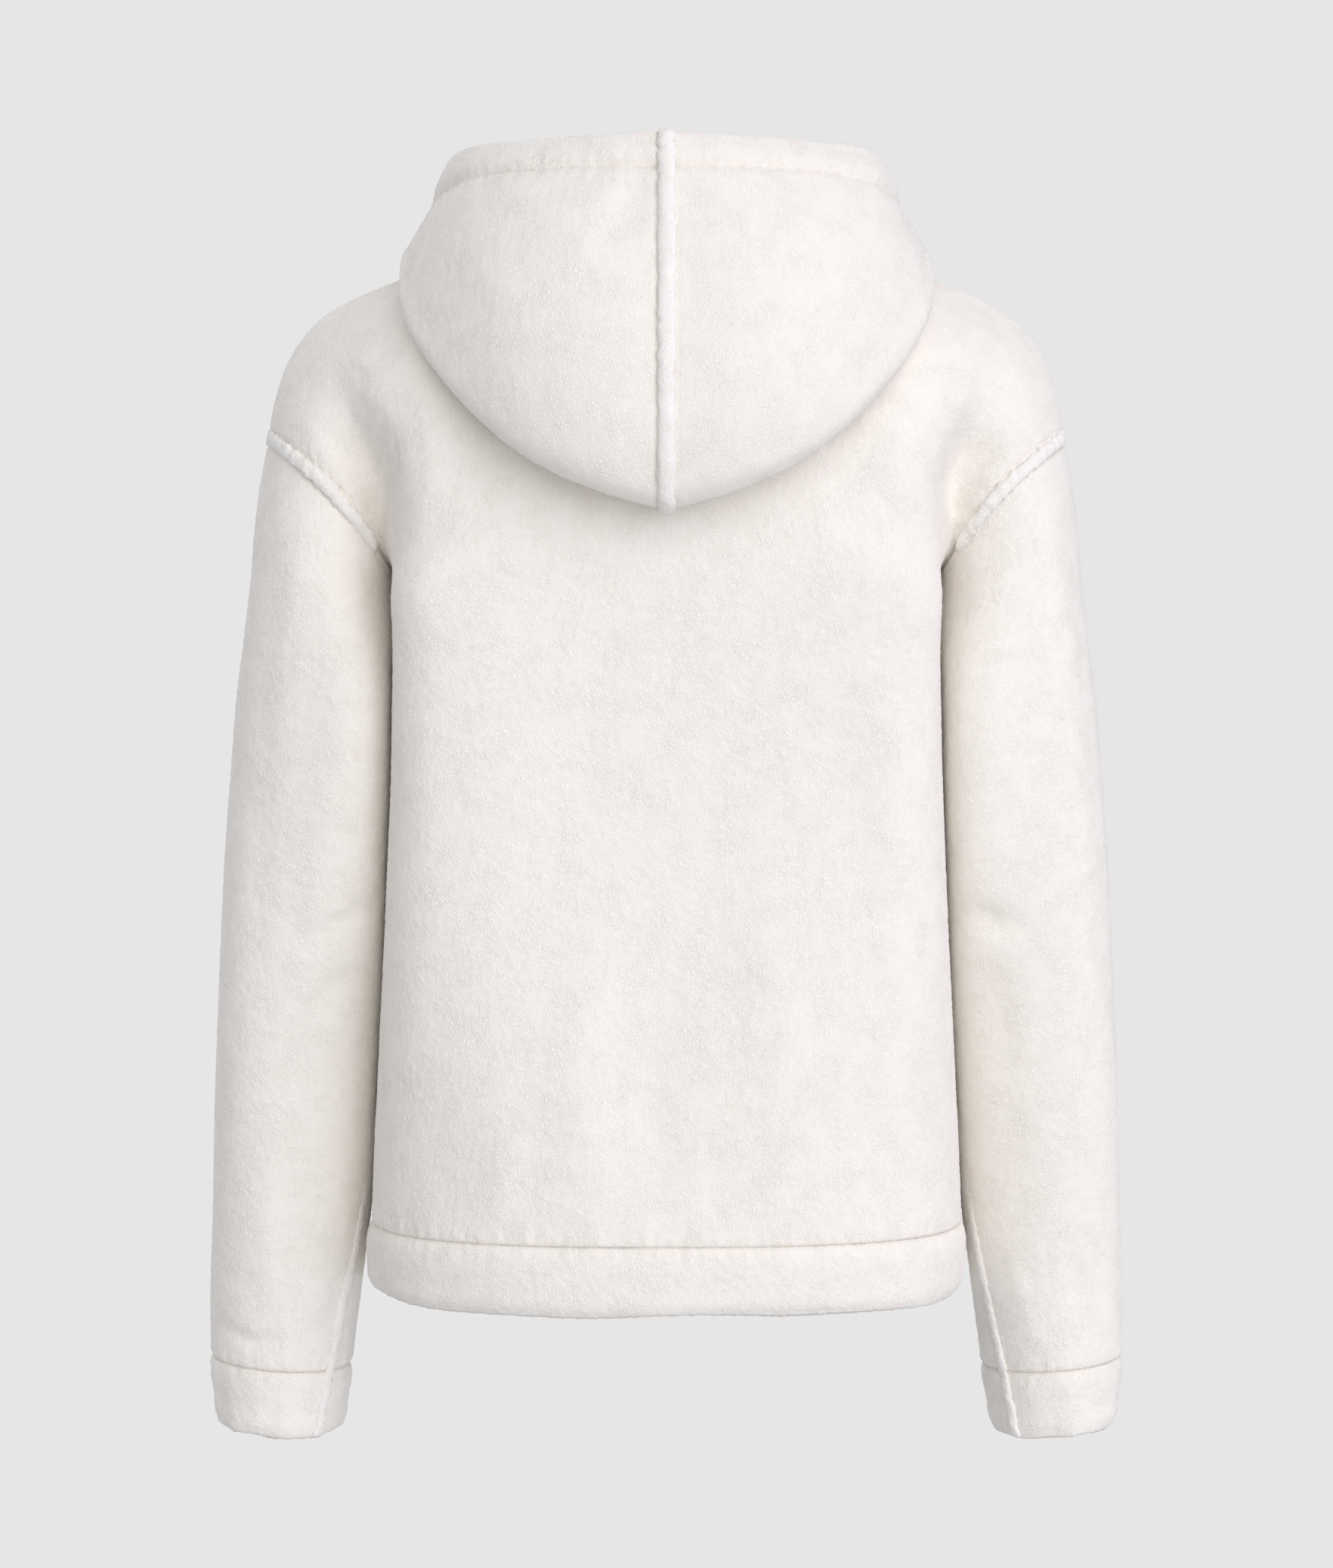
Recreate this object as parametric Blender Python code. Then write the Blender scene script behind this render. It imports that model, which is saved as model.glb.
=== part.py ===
"""Sherpa fleece hooded pullover, filled out as it is worn, with no wearer inside.

Frame: +Z is up, the wearer faces +Y and the wearer's right side is at +X. The origin is in the
middle of the neck, level with the high point of each shoulder, where the shoulder seam meets the
neck. Every size and table below is in millimetres, and MM turns them into metres when a mesh is
made. Each sewn piece is one closed wall of cloth, and neighbours stand SEAM apart.
"""
import math

import bmesh
import bpy
import numpy as np

MM = 0.001

BACK, FRONT = -1, 1     # which way along Y a panel faces
DOWN = np.array((0.0, 0.0, -1.0))

# Cloth
WALL = 4.0            # sherpa with its pile
DOUBLE_WALL = 7.0     # cloth turned back on itself: hem band, cuffs and hood casing
SEAM = 0.4            # gap between two sewn pieces
CREAM = (0.86, 0.83, 0.77)

# Body
NECK_HALF_WIDTH = 88.0
NECK_BACK_DEPTH = 78.0
NECK_FRONT_DEPTH = 82.0
NECK_BACK_DROP = 18.0
NECK_FRONT_DROP = 78.0
NECK_BACK_CURVE = 1.2     # how late the drop comes on the way from the side to the centre
NECK_FRONT_CURVE = 1.6
UNDERARM_Z = -205.0
HEM_SEAM_SIDE_Z = -585.0
HEM_SEAM_BACK_DIP = 6.0
HEM_SEAM_FRONT_DIP = 4.0
BAND_HEIGHT = 39.5
BAND_SWELL = 1.2        # how far the band swells out halfway down
BODY_SQUARENESS = 2.8   # exponent of the front's superellipse: 2 is an ellipse, more is squarer

# A doubled edge, from its seam to its free end, which turns round on itself.
DOUBLED_EDGE = [
    # share of the width, half thickness, share of the swell
    (0.0, WALL / 2, 0.0),
    (0.16, DOUBLE_WALL / 2, 0.5),
    (0.60, DOUBLE_WALL / 2, 1.0),
    (0.90, 0.85 * DOUBLE_WALL / 2, 0.5),
    (1.0, 0.30 * DOUBLE_WALL / 2, 0.0),
]
EDGE_STEPS = len(DOUBLED_EDGE) - 1

# Rings of the body below the underarm. The back is flat between the armholes and rounds off below.
BODY_RINGS = [
    # z, half width, depth at the back, depth at the front, squareness of the back
    (-640.0, 170.5, 113.0, 121.0, 2.6),
    (-610.0, 173.8, 116.0, 124.0, 2.6),
    (-585.0, 174.7, 118.0, 125.0, 2.7),
    (-535.0, 172.5, 119.0, 126.0, 3.0),
    (-490.0, 169.5, 119.0, 126.0, 3.8),
    (-400.0, 164.0, 118.0, 126.0, 5.5),
    (-310.0, 160.0, 118.0, 127.0, 7.0),
    (-255.0, 158.8, 119.5, 127.5, 7.5),
    (-205.0, 158.8, 120.5, 127.0, 8.0),
]

# Shoulder seam, from the neck to the top of the armhole, in the plane y = 0.
SHOULDER_SEAM = [
    # share of the half panel, x, z
    (0.36, 88.0, 0.0),
    (0.52, 130.0, -16.5),
    (0.66, 172.0, -31.5),
    (0.76, 205.0, -48.5),
    (0.87, 227.0, -78.0),
]

# Upper back and upper front: how the cloth runs over the shoulder blade, folds in beside the
# armhole and swells again over the sleeve head. Each row climbs from the underarm to the top.
UPPER_BACK = [
    # climb, centre (x, y, z), beside the centre, below the shoulder's start, fold edge, valley, cap
    (0.200, (0.0, -120.5, -172.0), (57.0, -119.0, -167.0), (98.0, -114.0, -162.0),
     (154.5, -89.0, -171.0), (164.0, -54.0, -180.0), (169.0, -46.0, -186.0)),
    (0.533, (0.0, -115.0, -108.0), (53.0, -111.5, -102.0), (95.0, -101.0, -93.0),
     (160.0, -87.0, -130.0), (169.5, -57.0, -141.0), (188.0, -64.0, -148.0)),
    (0.722, (0.0, -105.0, -68.0), (55.0, -96.0, -58.0), (95.0, -81.0, -50.0),
     (175.0, -77.0, -91.0), (188.0, -66.0, -105.0), (209.0, -60.0, -118.0)),
    (0.861, (0.0, -93.0, -40.0), (61.0, -75.0, -30.0), (99.0, -44.0, -22.0),
     (179.0, -48.0, -60.0), (201.0, -46.0, -78.0), (222.0, -38.0, -101.0)),
]
UPPER_FRONT = [
    # the same columns for the front, where the neck is cut lower
    (0.200, (0.0, 126.5, -180.0), (57.0, 121.5, -175.0), (98.0, 111.0, -164.0),
     (156.0, 79.0, -172.0), (164.0, 52.0, -180.0), (169.0, 46.0, -186.0)),
    (0.533, (0.0, 120.0, -142.0), (55.0, 113.0, -127.0), (95.0, 104.0, -104.0),
     (161.0, 84.0, -130.0), (170.0, 58.0, -141.0), (188.0, 64.0, -148.0)),
    (0.722, (0.0, 110.0, -115.0), (58.0, 96.0, -85.0), (96.0, 82.0, -63.0),
     (175.0, 77.0, -92.0), (188.0, 66.0, -105.0), (209.0, 60.0, -118.0)),
    (0.861, (0.0, 97.0, -95.0), (64.0, 77.0, -60.0), (99.0, 45.0, -31.0),
     (179.0, 48.0, -61.0), (201.0, 46.0, -78.0), (222.0, 38.0, -101.0)),
]
STATIONS = (0.0, 0.18, 0.36, 0.66, 0.76, 0.87, 1.0)
LEAD_HEIGHTS = (-310.0, -255.0)     # body rings that lead the upper rows in from below
COLUMNS = (0.0, 0.06, 0.12, 0.18, 0.24, 0.30, 0.36, 0.46, 0.56, 0.66, 0.71, 0.76, 0.815, 0.87,
           0.935, 1.0)
CENTRE = len(COLUMNS) - 1   # column of the centre line, once both halves are joined
NECK_COLUMNS = 7        # the first columns lie on the neck edge, every 15 degrees
NECK_SHARE = 0.36       # share of the half panel that ends at the neck
LOWER_ROWS = 7          # rows from the hem seam to the underarm
ARM_STEPS = 12          # rows beside each armhole, and half the columns of a sleeve
CREASE_STEPS = 4        # of these, those in the crease under the arm, counted from its bottom

# Armhole: an oval loop that leans outward, bowed towards the neck at the front and back.
ARMHOLE_CENTRE = (198.0, -163.0)
ARMHOLE_LEAN = (0.678, 0.735)
ARMHOLE_HALF_HEIGHT = 56.3
ARMHOLE_HALF_DEPTH = 64.0
ARMHOLE_BOW = 6.0

# Rings of the sleeve, each an oval between its outer and its inner side.
SLEEVE_RINGS = [
    # outer (x, z), inner (x, z), half depth, centre y, slant dy/dx, squareness, tilt dz/dy
    ((242.0, -152.0), (161.3, -216.0), 66.0, -1.0, 0.05, 2.1, 0.0),
    ((245.0, -187.0), (160.6, -234.0), 66.5, -4.0, 0.15, 2.4, 0.0),
    ((248.8, -226.0), (160.3, -258.0), 66.0, -7.0, 0.28, 2.8, 0.0),
    ((254.7, -272.0), (160.6, -290.0), 64.5, -9.0, 0.34, 3.0, 0.0),
    ((258.6, -322.0), (161.8, -333.0), 62.0, -8.0, 0.30, 3.0, 0.0),
    ((262.2, -372.0), (163.8, -378.0), 58.5, -5.0, 0.20, 3.0, 0.0),
    ((264.8, -422.0), (166.3, -424.0), 55.0, -0.5, 0.10, 2.8, 0.02),
    ((267.3, -472.0), (169.6, -471.0), 51.8, 6.5, 0.0, 2.6, 0.04),
    ((270.0, -527.0), (173.2, -525.0), 48.6, 15.5, -0.04, 2.4, 0.06),
    ((272.0, -582.0), (177.7, -581.0), 45.6, 24.5, -0.04, 2.2, 0.08),
    ((274.5, -631.0), (184.4, -633.0), 43.2, 32.0, 0.0, 2.1, 0.08),
    ((274.8, -671.0), (190.5, -677.0), 41.6, 37.5, 0.0, 2.0, 0.08),
    ((271.5, -710.5), (196.2, -715.5), 40.5, 42.0, 0.0, 2.0, 0.10),
]
CUFF_SEAM_RING = 12     # the sleeve ends and the cuff starts at this ring, counted from the armhole
CUFF_SWELL = -1.0
SLEEVE_ROWS = 17

# Hood, let down on the back. Each row is a cut through it at an angle round the neck: 0 is the
# centre back, 90 the side and 180 the centre front. The cloth's right side is followed from the
# neck seam over the roll, down its inner layer, round the fold and up the outer layer to the edge
# of the opening.
HOOD_CUTS = [
    # angle, then (radius, z) of: rise, roll, turn, inner 1, inner 2, inner 3, fold, swell,
    # outer 1, outer 2, edge
    (0.0, (83.0, -5.0), (92.0, 9.0), (101.0, -4.0), (107.0, -58.0), (122.0, -112.0),
     (131.0, -156.0), (143.0, -174.0), (156.0, -164.0), (164.0, -120.0), (146.0, -22.0), (107.0, 45.5)),
    (30.0, (89.0, -2.0), (98.0, 10.0), (107.0, -3.0), (118.0, -44.0), (136.0, -88.0),
     (148.0, -128.0), (159.0, -143.5), (170.0, -134.0), (174.0, -94.0), (153.0, -12.0), (111.0, 44.0)),
    (50.0, (93.0, 2.0), (103.0, 12.0), (112.0, 0.0), (127.0, -28.0), (146.0, -58.0),
     (157.0, -86.0), (165.0, -98.0), (173.0, -90.0), (172.0, -64.0), (153.0, 0.0), (119.5, 43.5)),
    (62.0, (94.0, 4.0), (104.0, 13.0), (113.0, 2.0), (129.0, -16.0), (146.0, -36.0),
     (158.0, -56.0), (166.0, -65.0), (172.5, -57.0), (167.5, -36.0), (150.5, 3.0), (125.0, 44.5)),
    (76.0, (95.0, 6.5), (105.0, 14.0), (114.0, 4.0), (126.0, -7.0), (138.0, -17.0),
     (148.0, -27.5), (154.5, -34.0), (161.0, -27.0), (155.5, -14.0), (144.0, 7.0), (128.0, 42.5)),
    (90.0, (96.0, 8.0), (105.0, 14.0), (114.0, 5.0), (123.0, -4.0), (132.0, -11.0),
     (140.0, -16.5), (147.0, -19.0), (153.0, -12.5), (149.0, -1.0), (140.0, 13.0), (127.5, 36.5)),
    (110.0, (94.0, -6.0), (103.0, -1.0), (112.0, -8.0), (121.0, -17.0), (130.0, -25.0),
     (138.0, -31.0), (146.0, -34.0), (153.0, -27.0), (153.0, -16.0), (148.0, -3.0), (136.0, 16.0)),
    (140.0, (90.0, -41.0), (98.0, -34.0), (106.0, -41.0), (111.0, -50.0), (117.0, -59.0),
     (124.0, -67.0), (132.0, -71.0), (140.0, -65.0), (142.0, -54.0), (140.0, -41.0), (133.0, -25.0)),
    (180.0, (85.0, -68.0), (92.0, -60.0), (99.0, -66.0), (101.0, -76.0), (103.0, -86.0),
     (107.0, -95.0), (115.0, -99.0), (123.0, -93.0), (126.0, -82.0), (126.0, -70.0), (121.0, -57.0)),
]
ROLL_NODE = 2           # places of the roll and the fold in a cut, counted from the neck seam
FOLD_NODE = 7
HOOD_STEPS = 12         # columns from the centre back to the centre front
ROLL_ROWS = 3           # rows from the neck seam to the roll
INNER_ROWS = 9          # rows from the roll to the fold
OUTER_ROWS = 8          # rows from the fold to the casing
BEND_STEP = 6.5         # longest step beside the roll and the fold
BEND_SECOND = 2.2       # where the second row beside a bend lies, in steps
CASING_WIDTH = 26.0
CASING_SWELL = 1.2
CASING_GROOVE = 0.8
FRONT_SLIT = 1.5        # half the slit between the hood's two edges at the centre front

# Raised seams: a soft half-round rope of pile over the stitching.
RIDGE_WIDTH = 9.0
RIDGE_HEIGHT = 4.0
RIDGE_SHOULDER = 0.72   # how far out and how high its shoulders lie, as a share
RIDGE_ENDS = (0.35, 0.85)   # height of its last two sections, as a share
RIDGE_LIFT = 0.6        # clear space under it
SLEEVE_RIDGE_HEIGHT = 3.0
SLEEVE_RIDGE_ROW = 13       # row of the sleeve where its seam starts to show
SLEEVE_RIDGE_START = 26.0   # degrees from the inside of the arm to the back at that row
SLEEVE_RIDGE_TURN = 24.0    # degrees further round at the cuff's end
ARMHOLE_RIDGE_END = 135.0   # degrees from the top: under the arm the seam is squeezed flat
HOOD_RIDGE_ROW = ROLL_ROWS + INNER_ROWS - 2     # row of the hood, just under its fold

# The largest soft folds, each a straight trough or ridge that fades out sideways and at its ends.
FOLDS = [
    # piece, facing (-1 back, 1 front), start (x, z), end (x, z), half width, height
    ("body", -1, (58.0, -394.0), (71.0, -577.0), 22.0, 3.0),
    ("body", -1, (-46.0, -430.0), (-50.0, -580.0), 20.0, 2.5),
    ("body", -1, (-6.0, -440.0), (-4.0, -580.0), 20.0, -2.5),
    ("body", -1, (-130.0, -450.0), (-128.0, -580.0), 22.0, -2.5),
    ("body", -1, (94.0, -275.0), (110.0, -395.0), 22.0, -2.5),
    ("body", 1, (-64.0, -400.0), (-78.0, -575.0), 22.0, 3.0),
    ("body", 1, (52.0, -430.0), (60.0, -580.0), 20.0, 2.5),
    ("body", 1, (2.0, -420.0), (-6.0, -580.0), 20.0, -2.5),
    ("body", 1, (-100.0, -270.0), (-112.0, -380.0), 22.0, -2.5),
    ("sleeve", -1, (182.0, -320.0), (180.0, -388.0), 13.0, 2.5),
    ("sleeve", -1, (174.0, -404.0), (206.0, -414.0), 9.0, -4.0),
    ("sleeve", -1, (190.0, -432.0), (194.0, -485.0), 14.0, -2.5),
    ("sleeve", -1, (236.0, -190.0), (258.0, -440.0), 9.0, -2.0),
    ("sleeve", -1, (-178.0, -404.0), (-214.0, -420.0), 10.0, -3.0),
    ("sleeve", -1, (-262.0, -655.0), (-228.0, -657.0), 6.0, -2.0),
    ("sleeve", 1, (196.0, -408.0), (240.0, -424.0), 11.0, -3.5),
    ("sleeve", 1, (200.0, -440.0), (246.0, -452.0), 11.0, -2.5),
    ("sleeve", 1, (-196.0, -412.0), (-240.0, -426.0), 11.0, -3.5),
    ("sleeve", 1, (-202.0, -446.0), (-246.0, -455.0), 11.0, -2.5),
    ("hood", -1, (-96.0, 18.0), (-64.0, 2.0), 12.0, 2.0),
    ("hood", -1, (-10.0, 20.0), (-34.0, -30.0), 13.0, -3.0),
    ("hood", -1, (12.0, 4.0), (96.0, 2.0), 14.0, -2.0),
]
FOLD_END = 3.5          # how far past its ends a fold fades, in half widths
FOLD_FACING = (1.6, 0.3)    # a fold fades on cloth that turns away: slope and start
EDGE_FADE = 16.0        # distance from a seam at which a fold has its full height
EDGE_FADE_CURVE = 0.8
MITRE_LIMITS = (-0.9, 0.98)     # cosines between which the corner of a panel is mitred


def curve_through(knots, points, at):
    """Smooth cubic curve that passes each point at its knot, read at each value of at."""
    knots = np.asarray(knots, float)
    points = np.asarray(points, float)
    steps = np.diff(knots)[:, None]
    rises = np.diff(points, axis=0) / steps
    slopes = np.empty_like(points)
    slopes[1:-1] = (rises[:-1] * steps[1:] + rises[1:] * steps[:-1]) / (steps[:-1] + steps[1:])
    slopes[0] = 1.5 * rises[0] - 0.5 * slopes[1]
    slopes[-1] = 1.5 * rises[-1] - 0.5 * slopes[-2]
    at = np.clip(np.asarray(at, float), knots[0], knots[-1])
    span = np.clip(np.searchsorted(knots, at, side="right") - 1, 0, len(knots) - 2)
    step = steps[span]
    t = ((at - knots[span]) / step[:, 0])[:, None]
    start = (1 + 2 * t) * (1 - t) ** 2 * points[span] + t * (1 - t) ** 2 * step * slopes[span]
    end = t * t * (3 - 2 * t) * points[span + 1] + t * t * (t - 1) * step * slopes[span + 1]
    return start + end


def unit(vectors):
    """Vectors scaled to length one."""
    return vectors / np.linalg.norm(vectors, axis=-1, keepdims=True)


def mirrored(grid):
    """The same grid of points or normals on the wearer's left."""
    return grid * np.array((-1.0, 1.0, 1.0))


def neck_point(angle):
    """Point of the neck seam: angle 0 is the centre back, 90 the side and 180 the centre front."""
    turn = math.radians(angle)
    cosine = math.cos(turn)
    depth = NECK_BACK_DEPTH if cosine > 0 else NECK_FRONT_DEPTH
    drop = NECK_BACK_DROP if cosine > 0 else NECK_FRONT_DROP
    curve = NECK_BACK_CURVE if cosine > 0 else NECK_FRONT_CURVE
    return np.array((NECK_HALF_WIDTH * math.sin(turn), -depth * cosine, -drop * abs(cosine) ** curve))


def armhole_point(angle):
    """Point of the armhole seam: angle 0 is its top, 90 the back and 180 the underarm."""
    turn = math.radians(angle)
    along = ARMHOLE_HALF_HEIGHT * math.cos(turn)
    bow = ARMHOLE_BOW * math.sin(turn) ** 2
    x = ARMHOLE_CENTRE[0] + along * ARMHOLE_LEAN[0] - bow * ARMHOLE_LEAN[1]
    z = ARMHOLE_CENTRE[1] + along * ARMHOLE_LEAN[1] + bow * ARMHOLE_LEAN[0]
    return np.array((x, -ARMHOLE_HALF_DEPTH * math.sin(turn), z))


def shoulder_point(share):
    """Point of the shoulder seam at a share of the half panel."""
    top = armhole_point(0.0)
    rows = SHOULDER_SEAM + [(1.0, top[0], top[2])]
    x, z = curve_through([row[0] for row in rows], [row[1:] for row in rows], [share])[0]
    return np.array((x, 0.0, z))


def top_point(share, facing):
    """Point of a panel's top edge: the neck seam first and then the shoulder seam."""
    if share > NECK_SHARE:
        return shoulder_point(share)
    angle = 90.0 * share / NECK_SHARE
    return neck_point(angle if facing == BACK else 180.0 - angle)


def body_point(z, share, facing):
    """Point of the body's ring at height z: share 0 is the centre and 1 the side seam."""
    rings = sorted(BODY_RINGS)
    width, back, front, squareness = curve_through([ring[0] for ring in rings],
                                                   [ring[1:] for ring in rings], [z])[0]
    depth, power = (back, squareness) if facing == BACK else (front, BODY_SQUARENESS)
    turn = math.radians(90.0 * share)
    aside = math.sin(turn) ** (2.0 / BODY_SQUARENESS)
    ahead = abs(math.cos(turn)) ** (2.0 / BODY_SQUARENESS)
    reach = (aside ** power + ahead ** power) ** (1.0 / power)
    return np.array((width * aside / reach, facing * depth * ahead / reach, z))


def hem_seam_z(share, facing):
    """Height of the hem seam, which dips towards the centre."""
    dip = HEM_SEAM_BACK_DIP if facing == BACK else HEM_SEAM_FRONT_DIP
    return HEM_SEAM_SIDE_Z - dip * (1.0 - share * share)


def arm_angles():
    """Angles of the rows beside an armhole, from the underarm to the top."""
    return [180.0 - 180.0 * step / ARM_STEPS for step in range(ARM_STEPS + 1)]


def half_panel(facing):
    """Right half of the back or front panel: rows from the hem seam to the top, columns outward."""
    rows = []
    for step in range(LOWER_ROWS):
        drop = 1.0 - step / LOWER_ROWS
        heights = [UNDERARM_Z + (hem_seam_z(share, facing) - UNDERARM_Z) * drop for share in COLUMNS]
        rows.append([body_point(z, share, facing) for z, share in zip(heights, COLUMNS)])
    net = UPPER_BACK if facing == BACK else UPPER_FRONT
    climbs = [0.0] + [row[0] for row in net] + [1.0]
    rise = -NECK_BACK_DROP - UNDERARM_Z
    knots = list(LEAD_HEIGHTS) + [UNDERARM_Z + rise * climb for climb in climbs]
    heights = [UNDERARM_Z + rise * step / ARM_STEPS for step in range(ARM_STEPS + 1)]
    tracks = []
    for index, share in enumerate(STATIONS[:-1]):
        track = [body_point(z, share, facing) for z in (*LEAD_HEIGHTS, UNDERARM_Z)]
        track += [np.array(row[1 + index]) for row in net]
        track.append(top_point(share, facing))
        tracks.append(curve_through(knots, track, heights))
    for step, angle in enumerate(arm_angles()):
        seam = armhole_point(angle) * np.array((1.0, -facing, 1.0))
        stations = [track[step] for track in tracks] + [seam]
        rows.append(list(curve_through(STATIONS, stations, COLUMNS)))
    underarm = [body_point(UNDERARM_Z, share, facing) for share in COLUMNS[:-1]]
    rows[LOWER_ROWS] = underarm + [armhole_point(180.0)]
    rows[-1] = [top_point(share, facing) for share in COLUMNS]
    return np.array(rows)


def half_band(facing):
    """Right half of the hem band: rows from the hem seam down, columns outward."""
    return np.array([[body_point(hem_seam_z(share, facing) - BAND_HEIGHT * row[0], share, facing)
                      for share in COLUMNS] for row in DOUBLED_EDGE])


def both_halves(half):
    """A grid with its mirror image to the wearer's left of the centre column."""
    return np.concatenate((mirrored(half[:, :0:-1]), half), axis=1)


def sleeve_grid():
    """Right sleeve and cuff: rows from the armhole to the cuff's end, columns round from the top."""
    angles = [180.0 * step / ARM_STEPS for step in range(2 * ARM_STEPS)]
    knots = [0.0]
    middles = [np.array((ARMHOLE_CENTRE[0], 0.0, ARMHOLE_CENTRE[1]))]
    for outer, inner, _, centre_y, *_ in SLEEVE_RINGS:
        middles.append(np.array(((outer[0] + inner[0]) / 2, centre_y, (outer[1] + inner[1]) / 2)))
        knots.append(knots[-1] + np.linalg.norm(middles[-1] - middles[-2]))
    seam_knot = knots[CUFF_SEAM_RING]
    sleeve_knots = [seam_knot * step / SLEEVE_ROWS for step in range(SLEEVE_ROWS + 1)]
    cuff_length = knots[-1] - seam_knot
    cuff_knots = [seam_knot + cuff_length * row[0] for row in DOUBLED_EDGE[1:]]
    columns = []
    for angle in angles:
        turn = math.radians(angle)
        track = [armhole_point(angle)]
        for outer, inner, half_depth, centre_y, slant, squareness, tilt in SLEEVE_RINGS:
            out, inn = np.array(outer), np.array(inner)
            aside, ahead = (math.copysign(abs(part) ** (2.0 / squareness), part)
                            for part in (math.cos(turn), -math.sin(turn)))
            x, z = (out + inn) / 2 + (out - inn) / 2 * aside
            y = half_depth * ahead
            slope = slant * (out - inn)[0] / 2 * aside
            track.append(np.array((x, centre_y + y + slope, z + tilt * y)))
        columns.append(curve_through(knots, track, sleeve_knots + cuff_knots))
    return np.array(columns).transpose(1, 0, 2)


def edge_offsets(swell):
    """Outer and inner offsets of a doubled edge from its cloth, row by row."""
    outer = [half - WALL / 2 + swell * share for _, half, share in DOUBLED_EDGE]
    inner = [-half - WALL / 2 for _, half, _ in DOUBLED_EDGE]
    return np.array(outer), np.array(inner)


def hood_cut(angle):
    """Points of the hood's cut at an angle, from the neck seam to the edge of its opening."""
    start = neck_point(angle)
    angles = [row[0] for row in HOOD_CUTS]
    nodes = [np.array((math.hypot(start[0], start[1]), start[2]))]
    for node in range(1, len(HOOD_CUTS[0])):
        nodes.append(curve_through(angles, [row[node] for row in HOOD_CUTS], [angle])[0])
    return nodes


def hood_grid():
    """Right half of the hood: rows along its cuts, columns from the centre back to the front."""
    columns = []
    for step in range(HOOD_STEPS + 1):
        angle = 180.0 * step / HOOD_STEPS
        nodes = hood_cut(angle)
        knots = np.concatenate(((0.0,), np.cumsum([np.linalg.norm(b - a) for a, b in zip(nodes, nodes[1:])])))
        roll, fold = knots[ROLL_NODE], knots[FOLD_NODE]
        casing = knots[-1] - CASING_WIDTH
        at = [roll * row / ROLL_ROWS for row in range(ROLL_ROWS)]
        at += [roll + step for step in bend_steps(fold - roll, INNER_ROWS, both_ends=True)]
        at += [fold + step for step in bend_steps(casing - fold, OUTER_ROWS, both_ends=False)]
        at += [casing + CASING_WIDTH * row[0] for row in DOUBLED_EDGE]
        turn = math.radians(angle)
        cut = curve_through(knots, nodes, at)
        columns.append([(radius * math.sin(turn), -radius * math.cos(turn), z) for radius, z in cut])
    return np.array(columns).transpose(1, 0, 2)


def bend_steps(length, count, both_ends):
    """Where the rows of one layer lie along it: two close rows next to each bend, the rest even."""
    close = min(BEND_STEP, length / count)
    near = [0.0, close, BEND_SECOND * close]
    if not both_ends:
        return near[:2] + list(np.linspace(near[2], length, count - 1)[:-1])
    return near[:2] + list(np.linspace(near[2], length - near[2], count - 3)) + [length - close]


def tangents(grid, closed):
    """Direction of the rows' run at each point of a grid, the nearer neighbour counting more."""
    if closed:
        grid = np.concatenate((grid[-1:], grid, grid[:1]))
    runs = np.diff(grid, axis=0)
    sizes = np.linalg.norm(runs, axis=-1, keepdims=True)
    runs = runs / sizes
    inside = (runs[:-1] * sizes[1:] + runs[1:] * sizes[:-1]) / (sizes[:-1] + sizes[1:])
    if closed:
        return inside
    return np.concatenate((1.5 * runs[:1] - 0.5 * inside[:1], inside, 1.5 * runs[-1:] - 0.5 * inside[-1:]))


def grid_normals(grid, closed=False, flip=False):
    """Unit normal at each point of a grid, from its neighbours along rows and columns."""
    across = tangents(grid.transpose(1, 0, 2), closed).transpose(1, 0, 2)
    along = tangents(grid, False)
    normals = unit(np.cross(across, along))
    return -normals if flip else normals


def fold_heights(grid, normals, piece):
    """How far each point of a grid moves along its normal for the folds of its piece."""
    heights = np.zeros(grid.shape[:2])
    flat = grid[:, :, (0, 2)]
    for name, facing, start, end, half_width, height in FOLDS:
        if name != piece:
            continue
        start = np.array(start)
        run = np.array(end) - start
        length = np.linalg.norm(run)
        place = (flat - start) @ run / length
        nearest = np.clip(place, 0.0, length)
        beyond = np.abs(place - nearest)
        aside = np.linalg.norm(flat - start - nearest[..., None] * run / length, axis=-1)
        fade = np.exp(-(aside / half_width) ** 2 - (beyond / (FOLD_END * half_width)) ** 2)
        slope, least = FOLD_FACING
        toward = np.clip(slope * facing * normals[:, :, 1] + least, 0.0, 1.0)
        heights += height * fade * toward
    return heights


def edge_fade(grid, closed):
    """One inside a grid and zero on its seams."""
    rows = np.linalg.norm(np.diff(grid, axis=0), axis=-1)
    down = np.concatenate((np.zeros((1, grid.shape[1])), np.cumsum(rows, axis=0)))
    distance = np.minimum(down, down[-1] - down)
    if not closed:
        columns = np.linalg.norm(np.diff(grid, axis=1), axis=-1)
        over = np.concatenate((np.zeros((grid.shape[0], 1)), np.cumsum(columns, axis=1)), axis=1)
        distance = np.minimum(distance, np.minimum(over, over[:, -1:] - over))
    return np.clip(distance / EDGE_FADE, 0.0, 1.0) ** EDGE_FADE_CURVE


def folded(grid, normals, piece, closed=False):
    """The grid with the soft folds of its piece, which fade out before its seams."""
    heights = fold_heights(grid, normals, piece) * edge_fade(grid, closed)
    return grid + normals * heights[..., None]


def shared(*directions):
    """One common direction for seam edges that meet."""
    return unit(sum(directions))


def into(points, seam, along):
    """Direction from a seam point into a piece, square to the seam, by the nearest points of it."""
    run = sum(unit(point - seam) for point in points)
    return unit(run - along * (run @ along))


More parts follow.
